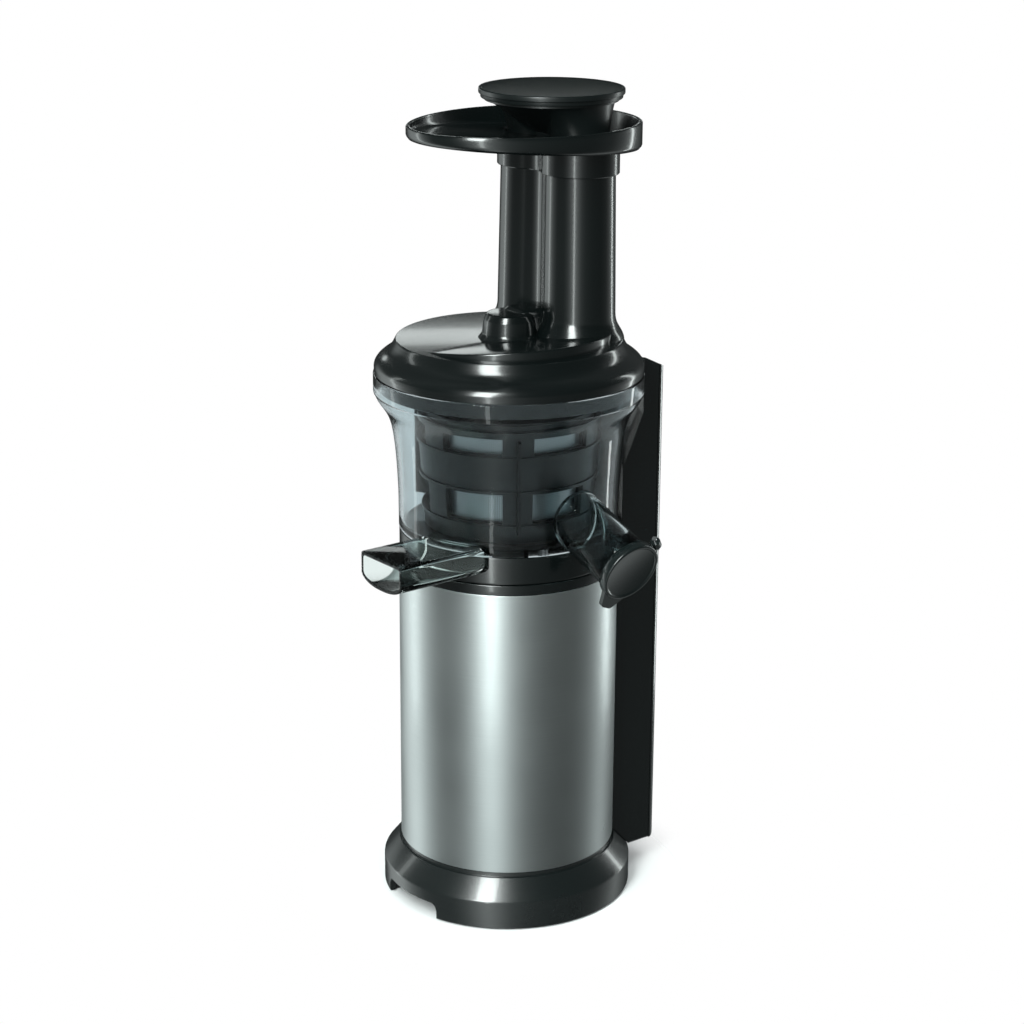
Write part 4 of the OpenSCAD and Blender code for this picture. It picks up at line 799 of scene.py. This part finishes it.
@dataclass(frozen=True)
class BowlSet:
    """Clear bowl with its band, spout, pulp tube, strainer and mesh."""

    body: str = "bowl_set"
    wall: float = 2.2
    inner_low: float = 210.0
    flare_levels: tuple[float, float, float] = (BOWL_LOW + 1, 274, 276.5)
    smoothing: float = 4.0
    foot_outline: Outline = ((8.2, 203.9), (57.4, 203.9, 0.6))
    rim_outline: Outline = (
        (70.5, 277.5, 1.2), (70.5, 287.0, 0.6), (68.3, 287.0, 0.6), (68.3, 277.5, 0.8))
    hub_outline: Outline = (
        (55.5, 206.5, 2.5), (11, 206.5, 0.8), (11, 212.7, 0.5), (8.2, 212.7, 0.5), (8.2, 203.9))
    band_outline: Outline = (
        (57.2, 189.4, 0.5), (57.5, 190.2, 0.3), (57.5, 203.7, 0.4), (54.5, 203.7), (54.5, 189.4))
    spout_half: float = 17.4
    spout_side: float = 11.5
    spout_belly: float = 5.5
    spout_belly_powers: tuple[float, float] = (2.4, 0.62)
    spout_corner: float = 1.4
    spout_x: float = 21.5
    spout_top: float = 209.7
    spout_root_r: float = 57.9
    spout_steps: tuple[tuple[float, float | None], ...] = (
        (0, None), (0, -70.0), (0, -96.6), (0.12, -96.9), (0.5, -97.0), (1.5, -97.0),
        (1.88, -96.9), (2, -96.6), (2, -70.0), (2, None))
    pipe_outer: float = 14.8
    pipe_inner: float = 12.8
    pipe_reach: float = 62.0
    pipe_weld: float = 0.15
    pipe_steps: Outline = (
        (14.8, -12), (14.8, -0.5), (14.6, -0.1), (14.3, 0), (13.3, 0), (13.0, -0.1), (12.8, -0.5),
        (12.8, -12))
    cage_windows: Outline = ((218.5, 233.0), (255.0, 263.5))
    cage_levels: tuple[float, float] = (216.7, 270.2)
    cage_straight: float = 268.2
    cage_insets: tuple[float, float] = (2.5, 4.3)
    mesh_outline: Outline = ((40.4, 216), (43.7, 266), (43.2, 266), (39.9, 216))

    def build(self) -> None:
        """Builds every piece that stays with the bowl."""
        self.bowl()
        band = rounded(self.band_outline, closed=True)
        add_mesh("bowl_foot_band", *lathe(band), "black_gloss", self.body, ["bowl_band"])
        rings = [self.spout_ring(*step) for step in self.spout_steps]
        # The spout's finish is the smoked clear made lighter: painted light
        add_mesh("spout", *loft(rings, joined=True), "spout_clear_painted_light", self.body, ["juice_spout"],
                 sharp=40)
        self.pulp_tube()
        self.strainer()

    def bowl(self) -> None:
        """Clear wall: the flared outer face, the same face set in by the wall, floor and hub."""
        low, high, last = self.flare_levels
        zs = np.array([*np.linspace(low, high, 36), last])
        spread = np.linspace(-self.smoothing, self.smoothing, 17)
        outer = np.stack([np.mean(bowl_radius(zs[:, None] + spread), axis=1), zs], 1)
        inner = outer[::-1] - (self.wall, 0)
        inner = inner[inner[:, 1] > self.inner_low]
        profile = np.concatenate([
            rounded([*self.foot_outline, outer[0]])[:-1], outer,
            rounded([outer[-1], *self.rim_outline, inner[0]])[1:-1],
            inner, rounded([inner[-1], *self.hub_outline])[1:-1]])
        add_mesh("bowl_clear", *lathe(profile, 224), "smoked_clear", self.body, ["bowl"])

    def spout_ring(self, inset: float, y: float | None) -> np.ndarray:
        """Gives a section of the spout: a flat top, straight sides and a round bottom.

        The bottom hangs below the sides by the belly times (1 - |s| ^ p) ^ q, where s goes from
        -1 to 1 across the duct.

        Args:
            inset: Even margin from the duct's outer face.
            y: The section's depth, or None where the root follows the round bowl.

        Returns:
            Rows of (x, y, z).
        """
        w, s, (p, q) = self.spout_half - inset, np.linspace(-1, 1, 33), self.spout_belly_powers
        belly = (self.spout_belly - inset / 2) * (1 - np.abs(s) ** p) ** q
        low = -(self.spout_side - inset / 2) - belly
        corner = self.spout_corner
        top = rounded([(w, low[-1]), (w, -inset, corner), (-w, -inset, corner), (-w, low[0])],
                      steps=6)
        flat = np.concatenate([np.stack([w * s, low], 1), top[1:-1]])
        flat += (self.spout_x, self.spout_top)
        depth = -np.sqrt(self.spout_root_r ** 2 - flat[:, 0] ** 2) if y is None else y
        return np.insert(flat, 1, depth, axis=1)

    def pipe_root(self, r: float) -> np.ndarray:
        """Gives the tube's root: the point of each straight line along it that meets the bowl.

        Args:
            r: Radius of the tube's face.

        Returns:
            Rows of (x, y, z), found by halving each line's stretch 30 times.
        """
        section = circle(r, 96)
        base = in_pipe(at_height(section, -self.pipe_reach))
        along = in_pipe(at_height(section, 0.0)) - base
        low, high = np.zeros(len(base)), np.ones(len(base))
        for _ in range(30):
            mid = (low + high) / 2
            x, y, z = (base + along * mid[:, None]).T
            inside = np.hypot(x, y) < bowl_radius(z) + self.pipe_weld
            low, high = np.where(inside, mid, low), np.where(inside, high, mid)
        return base + along * high[:, None]

    def pulp_tube(self) -> None:
        """Pulp tube: a tilted pipe whose root is cut to the bowl's outer face."""
        rings = [in_pipe(at_height(circle(r, 96), z)) for r, z in self.pipe_steps]
        rings = [self.pipe_root(self.pipe_outer), *rings, self.pipe_root(self.pipe_inner)]
        # The pipe's finish is the smoked clear made darker: painted shade
        add_mesh("pulp_pipe", *loft(rings, joined=True), "pipe_clear_painted_shade", self.body, ["pulp_tube"],
                 sharp=40)

    def cage_radius(self, z: float) -> float:
        """The wiper's cone at a height, upright above the cage's straight level."""
        return min(wiper_radius(z), wiper_radius(self.cage_straight))

    def strainer(self) -> None:
        """Strainer cage, set in from the wiper's cone, and the steel mesh inside it."""
        turns, solid, levels = window_grid(self.cage_windows, *self.cage_levels)
        outer, inner = self.cage_insets
        cage = lattice(turns, levels, lambda z: self.cage_radius(z) - outer,
                       lambda z: self.cage_radius(z) - inner, solid)
        add_mesh("strainer_cage", *cage, "black_satin", self.body, ["strainer_frame"])
        cone = lathe(np.array(self.mesh_outline), 160)
        add_mesh("mesh_cone", *cone, "mesh_steel", self.body, ["strainer_mesh"])


@dataclass(frozen=True)
class PulpCap:
    """Hinged cap on the pulp tube with its knuckle and lift tab."""

    body: str = "cap"
    gap: float = 0.3
    disc_steps: Outline = (
        (0, 1.9), (12.6, 1.9), (13.2, 1.6), (13.3, 0.3), (13.6, 0.0), (16.2, 0.0), (16.5, 0.3),
        (16.5, 4.2), (16.35, 4.7), (15.9, 5.0), (15.1, 5.0), (14.7, 4.75), (14.4, 4.35),
        (13.9, 4.2), (0, 4.2))
    tab_r: float = 15.2
    tab_flanks: tuple[float, float] = (38.0, 60.0)
    tab_outline: Outline = ((14.9, -8.0), (22.6, -3.6, 2.4), (22.6, 3.6, 2.4), (14.9, 8.0))
    tab_heart: tuple[float, float] = (8, 0)
    tab_levels: tuple[float, float] = (1.8, 4.1)
    tab_turn: float = 335.0
    knuckle_steps: Outline = ((2.3, -2.1), (2.5, -1.9), (2.5, 1.9), (2.3, 2.1))
    knuckle_place: tuple[float, float] = (19.6, -0.3)
    knuckle_turn: float = 124.0

    def placed(self, flat: np.ndarray, z: float | np.ndarray) -> np.ndarray:
        """Lifts an outline to a height above the shut cap's seat and moves it to the tube's tip."""
        return in_pipe(at_height(flat, z) + (0, 0, self.gap))

    def build(self) -> None:
        """Cap: a dished disc with a raised rim, and a tab that leaves it in hollow curves."""
        disc = [self.placed(circle(r, 144), z) for r, z in self.disc_steps]
        add_mesh("cap_disc", *loft(disc), "cap_grey", self.body, ["pulp_cap"], sharp=50)
        near, far = self.tab_flanks
        side = rounded([*circle_arc(0, 0, self.tab_r, -near, -far, 3), *self.tab_outline,
                        *circle_arc(0, 0, self.tab_r, far, near, 3), self.tab_heart],
                       closed=True, steps=8)
        tab = [self.placed(turned(side, self.tab_turn), z) for z in self.tab_levels]
        add_mesh("cap_tab", *loft(tab), "cap_grey", self.body, sharp=30)
        rows, (away, above) = [], self.knuckle_place
        for r, along in self.knuckle_steps:
            ring = circle(r, 40) + (away, above)
            flat = np.column_stack([ring[:, 0], np.full(len(ring), along)])
            rows.append(self.placed(turned(flat, self.knuckle_turn), ring[:, 1]))
        add_mesh("cap_knuckle", *loft(rows), "cap_grey", self.body, sharp=30)


@dataclass(frozen=True)
class Wiper:
    """Rotating wiper frame with its raised bands."""

    body: str = "wiper"
    wall: float = 2.0
    bands: tuple[float, ...] = (215.5, 234.0, 252.4)
    band_tall: float = 1.6
    band_out: float = 1.0
    band_edge: float = 0.02
    windows: Outline = ((217.4, 233.7), (254.3, 263.8))
    top: float = 267.0

    def outer(self, z: float) -> float:
        """Radius of the outer face at a height: the cone, and more within a raised band."""
        raised = any(low <= z <= low + self.band_tall for low in self.bands)
        return wiper_radius(z) + (self.band_out if raised else 0.0)

    def build(self) -> None:
        """Builds the slotted cone: its wall's grid gets more levels at each band's edges."""
        turns, solid, levels = window_grid(self.windows, WIPER_LOW, self.top)
        edges = (-self.band_edge, 0, self.band_tall, self.band_tall + self.band_edge)
        rows = np.array(sorted({*levels, *(low + e for low in self.bands for e in edges)}))
        cells = np.searchsorted(levels, (rows[1:] + rows[:-1]) / 2) - 1
        cone = lattice(turns, rows, self.outer, lambda z: wiper_radius(z) - self.wall,
                       solid[:, cells])
        add_mesh("wiper_cone", *cone, "black_satin", self.body, ["wiper_frame"])


@dataclass(frozen=True)
class Lid:
    """Lid with its raised half, the centre boss, the bridge behind it and the feed tube."""

    body: str = "lid_set"
    under_outline: Outline = (
        (0, 302.6), (55.2, 302.6, 2), (64.5, 293, 2), (65.4, 289.6), (65.4, 279.3),
        (67.7, 279.3, 0.6), (67.7, 287.3), (70, 287.3, 0.6), (70, 289.2))
    shoulder_marks: Outline = (
        (70, 289.2), (70, 290.8), (69.5, 292.4), (68.2, 294.2), (66.2, 295.9), (64.0, 297.4),
        (62.2, 299.0), (60.8, 300.9), (59.7, 302.9), (59.1, 304.1))
    plate_outline: Outline = ((59.1, 304.1), (58.6, 304.9, 0.5), (0, 304.9))
    boss_outline: Outline = (
        (0, 304), (17.2, 304), (16.1, 305.0, 2), (14.2, 307.5, 2.5), (13.3, 314.6, 2.2),
        (11.7, 318, 1.6), (0, 318))
    bridge_outline: Outline = ((-9.6, 1.2, 5), (-9.6, 19.4), (9.6, 19.4), (9.6, 1.2, 5))
    bridge_half: float = 9.6
    bridge_end: float = 19.4
    bridge_middle: float = 12.0
    bridge_levels: tuple[float, float] = (305.0, 316.6)
    bridge_roll: float = 3.0
    ramp_r: float = 53.0
    ramp_low: float = 304.3
    ramp_top: float = 304.9
    ramp_rise: float = 6.0
    ramp_steps: Outline = ((0, 0.8), (0.12, 0.35), (0.4, 0.08), (0.8, 0))
    chute_w: float = 19.0
    chute_flare: Outline = (
        (4.6, 303.8), (4.4, 305.2), (3.9, 306.6), (3.2, 308.0), (2.3, 309.5), (1.5, 310.9),
        (0.85, 312.3), (0.4, 313.7), (0.12, 315.2), (0, 317))
    chute_levels: tuple[float, ...] = (330, 350, 370, 390, 399.3)
    chute_rim: Outline = ((18.8, 399.9), (16.9, 399.9), (16.7, 399.3), (16.7, 303.8))

    def build(self) -> None:
        """Lid: a turned dome with a smooth shoulder, and the pieces that stand on its plate."""
        dome = np.concatenate([rounded(self.under_outline, steps=4)[:-1],
                               spline(self.shoulder_marks, 5),
                               rounded(self.plate_outline, steps=4)])
        add_mesh("lid_dome", *lathe(dome, 224, closed=False), "black_gloss", self.body, ["lid"])
        self.ramp()
        boss = rounded(self.boss_outline, steps=6)
        add_mesh("boss", *lathe(boss, 128, closed=False), "black_gloss", self.body)
        self.bridge()
        self.chute()

    def bridge(self) -> None:
        """Raised bridge from the boss to the feed tube: a block whose upper edge is rolled over."""
        plan = rounded(self.bridge_outline, closed=True, steps=10)
        centre, high = (0, self.bridge_middle), self.bridge_levels[-1]
        at_tube = plan[:, 1] > self.bridge_end - 0.4
        rings = [at_height(plan, z) for z in self.bridge_levels]
        for t in np.radians(np.linspace(12, 90, 9)):
            share = 1 - self.bridge_roll * (1 - math.cos(t)) / self.bridge_half
            rolled = centre + (plan - centre) * share
            rolled[at_tube, 1] = self.bridge_end
            rings.append(at_height(rolled, high + self.bridge_roll * math.sin(t)))
        add_mesh("boss_bridge", *loft(rings), "black_gloss", self.body, sharp=50)

    def ramp_plan(self, inset: float) -> np.ndarray:
        """Gives the half disc's outline: its arc and the straight crease, which moves in less.

        Args:
            inset: Margin from the arc.

        Returns:
            A closed outline, anticlockwise.
        """
        r = self.ramp_r - inset
        crease = np.stack([np.full(31, inset * 0.2), np.linspace(r, -r, 33)[1:-1]], 1)
        return np.concatenate([circle_arc(0, 0, r, -90, 90, 72), crease])

    def ramp(self) -> None:
        """Raised half of the lid's top: a half disc whose top rises evenly away from the crease."""
        rise = math.tan(math.radians(self.ramp_rise))
        rings = [at_height(self.ramp_plan(0), self.ramp_low)]
        for inset, drop in self.ramp_steps:
            flat = self.ramp_plan(inset)
            rings.append(at_height(flat, self.ramp_top + np.maximum(0, flat[:, 0]) * rise - drop))
        add_mesh("ramp", *loft(rings), "black_gloss", self.body, sharp=50)

    def chute(self) -> None:
        """Feed tube: kidney sections that shrink evenly towards the top, with a flared foot."""
        steps = [*((self.chute_w + out, z) for out, z in self.chute_flare),
                 *((self.chute_w, z) for z in self.chute_levels), *self.chute_rim]
        rings = []
        for w, z in steps:
            share = 1 - (1 - TOP_SHARE) * (z - TUBE_LOW) / (TUBE_TOP - TUBE_LOW)
            rings.append(at_height(shrunk(kidney(w), share), z))
        add_mesh("chute", *loft(rings, joined=True), "black_gloss", self.body, ["feed_tube"],
                 sharp=40)


@dataclass(frozen=True)
class Tray:
    """Hopper tray with its collar."""

    body: str = "tray"
    points: int = 240
    middle_y: float = KIDNEY_R - 1.5
    fall: float = 4.0
    egg_half: float = 53.5
    egg_length: float = 63.0
    egg_y: float = 7.3
    egg_growth: float = 0.1
    # Outline, half width of a bean or margin of an egg, height, and whether it falls with the floor
    steps: tuple[tuple[Plan, float, float, bool], ...] = (
        (Plan.BEAN, 19.4, 389.4, False), (Plan.BEAN, 20.9, 389.4, False),
        (Plan.BEAN, 21.2, 389.8, False), (Plan.BEAN, 21.2, 404.3, True),
        (Plan.BEAN, 22.0, 405.0, True), (Plan.EGG, 2.4, 405.0, True),
        (Plan.EGG, 1.5, 405.3, True), (Plan.EGG, 0.4, 406.6, True), (Plan.EGG, 0.0, 407.6, True),
        (Plan.EGG, 0, 414.4, False), (Plan.EGG, 0.25, 415.0, False), (Plan.EGG, 0.8, 415.2, False),
        (Plan.EGG, 1.5, 415.2, False), (Plan.EGG, 2.0, 415.0, False), (Plan.EGG, 2.2, 414.4, False),
        (Plan.EGG, 2.2, 410.2, True), (Plan.EGG, 2.9, 408.8, True), (Plan.EGG, 4.2, 408.2, True),
        (Plan.BEAN, 19.0, 408.2, True), (Plan.BEAN, 18.2, 407.6, True),
        (Plan.BEAN, 17.85, 406.9, True), (Plan.BEAN, 17.85, 400.0, False),
        (Plan.BEAN, 19.4, 400.0, False))

    def outline(self, plan: Plan, size: float) -> np.ndarray:
        """Gives one of the tray's outlines.

        The egg is an ellipse whose width grows evenly towards the back, and the bean is the
        kidney at the feed tube's top.

        Args:
            plan: Which of the two it is.
            size: Margin of the egg or half width of the bean.

        Returns:
            A closed outline, anticlockwise.
        """
        if plan is Plan.BEAN:
            return shrunk(kidney(size, 60), TOP_SHARE)
        a = np.linspace(0, TAU, 168, endpoint=False)
        x = (self.egg_half - size) * np.cos(a) * (1 + self.egg_growth * np.sin(a))
        return np.stack([x, self.egg_y + (self.egg_length - size) * np.sin(a)], 1)

    def resampled(self, outline: np.ndarray) -> np.ndarray:
        """Gives an outline's points at even directions from a place near the kidney's middle.

        Args:
            outline: Rows of (x, y).

        Returns:
            As many rows as each ring has points.
        """
        x, y = (outline - (0, self.middle_y)).T
        t = np.arctan2(y, x) % TAU
        order = np.argsort(t)
        t, r = t[order], np.hypot(x, y)[order]
        a = np.linspace(0, TAU, self.points, endpoint=False)
        radius = np.interp(a, np.concatenate([t - TAU, t, t + TAU]), np.tile(r, 3))
        return np.stack([radius * np.cos(a), radius * np.sin(a) + self.middle_y], 1)

    def build(self) -> None:
        """Tray: rings from the collar under the floor, round the rim, to the kidney hole."""
        rings, fall = [], math.tan(math.radians(self.fall))
        for plan, size, z, sloped in self.steps:
            flat = self.resampled(self.outline(plan, size))
            rings.append(at_height(flat, z - (flat[:, 1] * fall if sloped else 0)))
        add_mesh("tray_shell", *loft(rings, joined=True), "black_gloss", self.body, ["hopper_tray"],
                 sharp=34)


@dataclass(frozen=True)
class Pusher:
    """Food pusher: round grip head on a kidney-shaped body."""

    body: str = "pusher"
    head_y: float = 26.4
    head_outline: Outline = (
        (0, 424.8), (34.3, 424.8), (34.3, 426.0), (36.2, 426.0, 0.4), (36.4, 428.0),
        (37.3, 428.2, 0.5), (37.3, 431.0, 1.3), (36.0, 431.0, 0.3), (35.6, 430.7, 0.3), (0, 430.7))
    stem_w: float = 15.7
    stem_low: float = 324.9
    neck_r: float = 32.3
    neck_low: float = 408.0
    neck_tall: float = 16.5

    def build(self) -> None:
        """Builds the head and the body, which blends from the kidney to a circle below the head."""
        verts, faces = lathe(rounded(self.head_outline), 160, closed=False)
        add_mesh("grip_head", verts + (0, self.head_y, 0), faces, "black_satin", self.body,
                 ["pusher_head"])
        low = shrunk(kidney(self.stem_w, 40), TOP_SHARE)
        a = np.arctan2(low[:, 1] - self.head_y, low[:, 0])
        top = np.stack([self.neck_r * np.cos(a), self.neck_r * np.sin(a) + self.head_y], 1)
        rings = [at_height(low, self.stem_low), at_height(low, self.neck_low)]
        rings += [at_height(low + (top - low) * t, self.neck_low + self.neck_tall * t)
                  for t in np.linspace(0.08, 1, 12)]
        add_mesh("pusher_stem", *loft(rings), "black_satin", self.body, ["pusher_body"], sharp=40)


@dataclass(frozen=True)
class Lamp:
    """One soft box: direction to the right of the camera's, reach, height, size and power."""

    name: str
    angle: float
    reach: float
    height: float
    size: tuple[float, float]
    watts: float
    in_reflections: bool = True


@dataclass(frozen=True)
class Studio:
    """Floor, world, lamps and camera, in metres and degrees."""

    azimuth: float = 52.0
    distance: float = 1.2229
    height: float = 0.6024
    shift: float = 0.00187
    pitch: float = 17.785
    roll: float = -0.327
    lens: float = 85.66
    sensor: float = 36.0
    clip: tuple[float, float] = (0.05, 20.0)
    floor_r: float = 0.9
    floor_fade: tuple[float, float] = (0.062, 0.115)
    lamp_color: tuple[float, float, float] = (0.93, 1.0, 0.985)
    lamp_aim: float = 0.25
    lamp_rows: tuple[Lamp, ...] = (
        Lamp("key_front", -17, 1.5, 0.3, (0.1, 1.5), 3.4),
        Lamp("key_high", -22, 1.4, 1.15, (0.46, 1.3), 36.0),
        Lamp("rim_left", -112, 1.3, 0.3, (0.12, 1.4), 1.2),
        Lamp("rim_right", 124, 1.3, 0.3, (0.09, 1.4), 2.8),
        Lamp("lid_card", -172, 0.5, 0.425, (0.42, 0.05), 0.15),
        Lamp("top", 0, 0.3, 1.6, (1.2, 1.2), 15.0, in_reflections=False))
    # Brightness seen in reflections, by the angle to the right of the camera: level and high up
    level_stops: Outline = (
        (-180, 0.02), (-154, 0.06), (-138, 0.7), (-112, 1.5), (-98, 0.6), (-80, 0.16), (-50, 0.14),
        (-38, 0.34), (-27, 1.0), (-17, 1.7), (-7, 1.0), (4, 0.36), (18, 0.17), (40, 0.1), (70, 0.08),
        (92, 0.14), (108, 0.36), (122, 0.7), (138, 0.25), (154, 0.06), (180, 0.02))
    high_stops: Outline = (
        (-180, 0.03), (-130, 0.1), (-100, 0.16), (-60, 0.05), (-32, 0.07), (-24, 0.5), (-14, 0.9),
        (-4, 0.4), (8, 0.05), (60, 0.03), (110, 0.06), (130, 0.1), (180, 0.06))
    stop_tint: tuple[float, float, float] = (0.455, 0.495, 0.49)
    high_blend: tuple[float, float] = (0.02, 0.26)
    reflected: float = 2.0
    diffuse_color: tuple[float, float, float] = (0.94, 0.99, 1.0)
    diffuse: float = 0.45

    def build(self) -> None:
        """Builds the whole studio."""
        self.floor()
        self.world()
        self.lamps()
        self.camera()

    def axes(self) -> tuple[Vector, Vector, Vector]:
        """Gives the directions that the studio is laid out in.

        Returns:
            The level directions to the camera's right and away from it, and straight up.
        """
        a = math.radians(self.azimuth)
        right, away = Vector((math.cos(a), math.sin(a), 0)), Vector((-math.sin(a), math.cos(a), 0))
        return right, away, Vector((0, 0, 1))

    def floor(self) -> None:
        """Pale round floor that takes the soft shadow and fades into the white background."""
        disc = at_height(circle(self.floor_r, 96), 0.0)
        mesh = bpy.data.meshes.new("floor")
        mesh.from_pydata(disc.tolist(), [], [list(range(len(disc)))])
        obj = bpy.data.objects.new("floor", mesh)
        bpy.context.scene.collection.objects.link(obj)
        mat = FINISH.get("floor")
        tree, (near, far) = mat.node_tree, self.floor_fade
        coords = add_node(tree, "TexCoord").outputs["Object"]
        reach = add_node(tree, "VectorMath", {0: coords}, operation="LENGTH").outputs["Value"]
        fade = add_node(tree, "MapRange", {"Value": reach, "From Min": near, "From Max": far,
                                           "To Min": 1.0, "To Max": 0.0},
                        interpolation_type="SMOOTHSTEP")
        tree.links.new(fade.outputs[0], tree.nodes["Principled BSDF"].inputs["Alpha"])
        mesh.materials.append(mat)
        obj.visible_glossy = False

    def world(self) -> None:
        """World: white for the camera and through clear pieces, even for diffuse light.

        In reflections it is soft boxes: two ramps round the object, one level with it and one
        high up, which blend by the height of the direction.
        """
        world = bpy.data.worlds.new("studio")
        bpy.context.scene.world = world
        world.use_nodes = True
        tree = world.node_tree
        tree.nodes.clear()
        coords = add_node(tree, "TexCoord").outputs["Generated"]
        split = add_node(tree, "SeparateXYZ", {0: coords})
        turn = add_maths(tree, "ARCTAN2", split.outputs[1], split.outputs[0])
        start = (90 - self.azimuth) / 360 + 0.5
        share = add_maths(tree, "ADD", add_maths(tree, "DIVIDE", turn, TAU), start)
        share = add_maths(tree, "FRACT", share)
        level, high = (
            add_ramp(tree, share, [(angle / 360 + 0.5, [value * tint for tint in self.stop_tint])
                                   for angle, value in stops])
            for stops in (self.level_stops, self.high_stops))
        low, top = self.high_blend
        blend = add_node(tree, "MapRange", interpolation_type="SMOOTHSTEP", inputs={
            "Value": split.outputs[2], "From Min": low, "From Max": top})
        mixed = add_node(tree, "Mix", {"Factor": blend.outputs[0], 6: level, 7: high},
                         data_type="RGBA")
        studio, soft, white = (
            add_node(tree, "Background", {"Color": color, "Strength": strength}).outputs[0]
            for color, strength in ((mixed.outputs[2], self.reflected),
                                    ((*self.diffuse_color, 1), self.diffuse), ((1, 1, 1, 1), 1.0)))
        path = add_node(tree, "LightPath").outputs
        lit = add_node(tree, "MixShader", {0: path["Is Glossy Ray"], 1: soft, 2: studio})
        seen = add_maths(tree, "MAXIMUM", path["Is Camera Ray"], path["Is Transmission Ray"])
        shown = add_node(tree, "MixShader", {0: seen, 1: lit.outputs[0], 2: white})
        add_node(tree, "OutputWorld", {0: shown.outputs[0]})

    def lamps(self) -> None:
        """Soft boxes: upright ones for bright lines, a card behind the lid and one above."""
        right, away, up = self.axes()
        for row in self.lamp_rows:
            a = math.radians(row.angle)
            place = (-away * math.cos(a) + right * math.sin(a)) * row.reach + up * row.height
            data = bpy.data.lights.new(row.name, "AREA")
            data.shape, (data.size, data.size_y), data.energy = "RECTANGLE", row.size, row.watts
            data.color = self.lamp_color
            lamp = bpy.data.objects.new(row.name, data)
            bpy.context.scene.collection.objects.link(lamp)
            lamp.location = place
            aim = up * self.lamp_aim - place
            lamp.rotation_euler = aim.to_track_quat("-Z", "Y").to_euler()
            lamp.visible_camera = False
            lamp.visible_transmission = False
            lamp.visible_glossy = row.in_reflections

    def camera(self) -> None:
        """Camera fitted to the photograph: place, pitch, small roll and lens."""
        pitch, roll = math.radians(self.pitch), math.radians(self.roll)
        right, away, vertical = self.axes()
        up = vertical * math.cos(pitch) + away * math.sin(pitch)
        forward = away * math.cos(pitch) - vertical * math.sin(pitch)
        side = right * math.cos(roll) - up * math.sin(roll)
        lift = right * math.sin(roll) + up * math.cos(roll)
        data = bpy.data.cameras.new("camera")
        data.lens, data.sensor_width = self.lens, self.sensor
        data.clip_start, data.clip_end = self.clip
        cam = bpy.data.objects.new("camera", data)
        bpy.context.scene.collection.objects.link(cam)
        place = right * self.shift - away * self.distance + vertical * self.height
        turn = Matrix((side, lift, -forward)).transposed()
        cam.matrix_world = Matrix.Translation(place) @ turn.to_4x4()
        bpy.context.scene.camera = cam


def dress_cad() -> None:
    """Gives every CAD node that is still shown the material of its slot."""
    slots = {s["node"]: s["material_slot"] for s in frame["record"]["subparts"]}
    for name, obj in frame["nodes"].items():
        obj.data.materials.clear()
        obj.data.materials.append(FINISH.get(slots[name]))


def main() -> None:
    """Builds the juicer and its studio in order."""
    bpy.context.scene.view_settings.view_transform = "Standard"
    dress_cad()
    for part in (Housing(), BowlSet(), PulpCap(), Wiper(), Lid(), Tray(), Pusher(), Studio()):
        part.build()
        log.info("built %s", type(part).__name__)


if __name__ == "__main__":
    main()
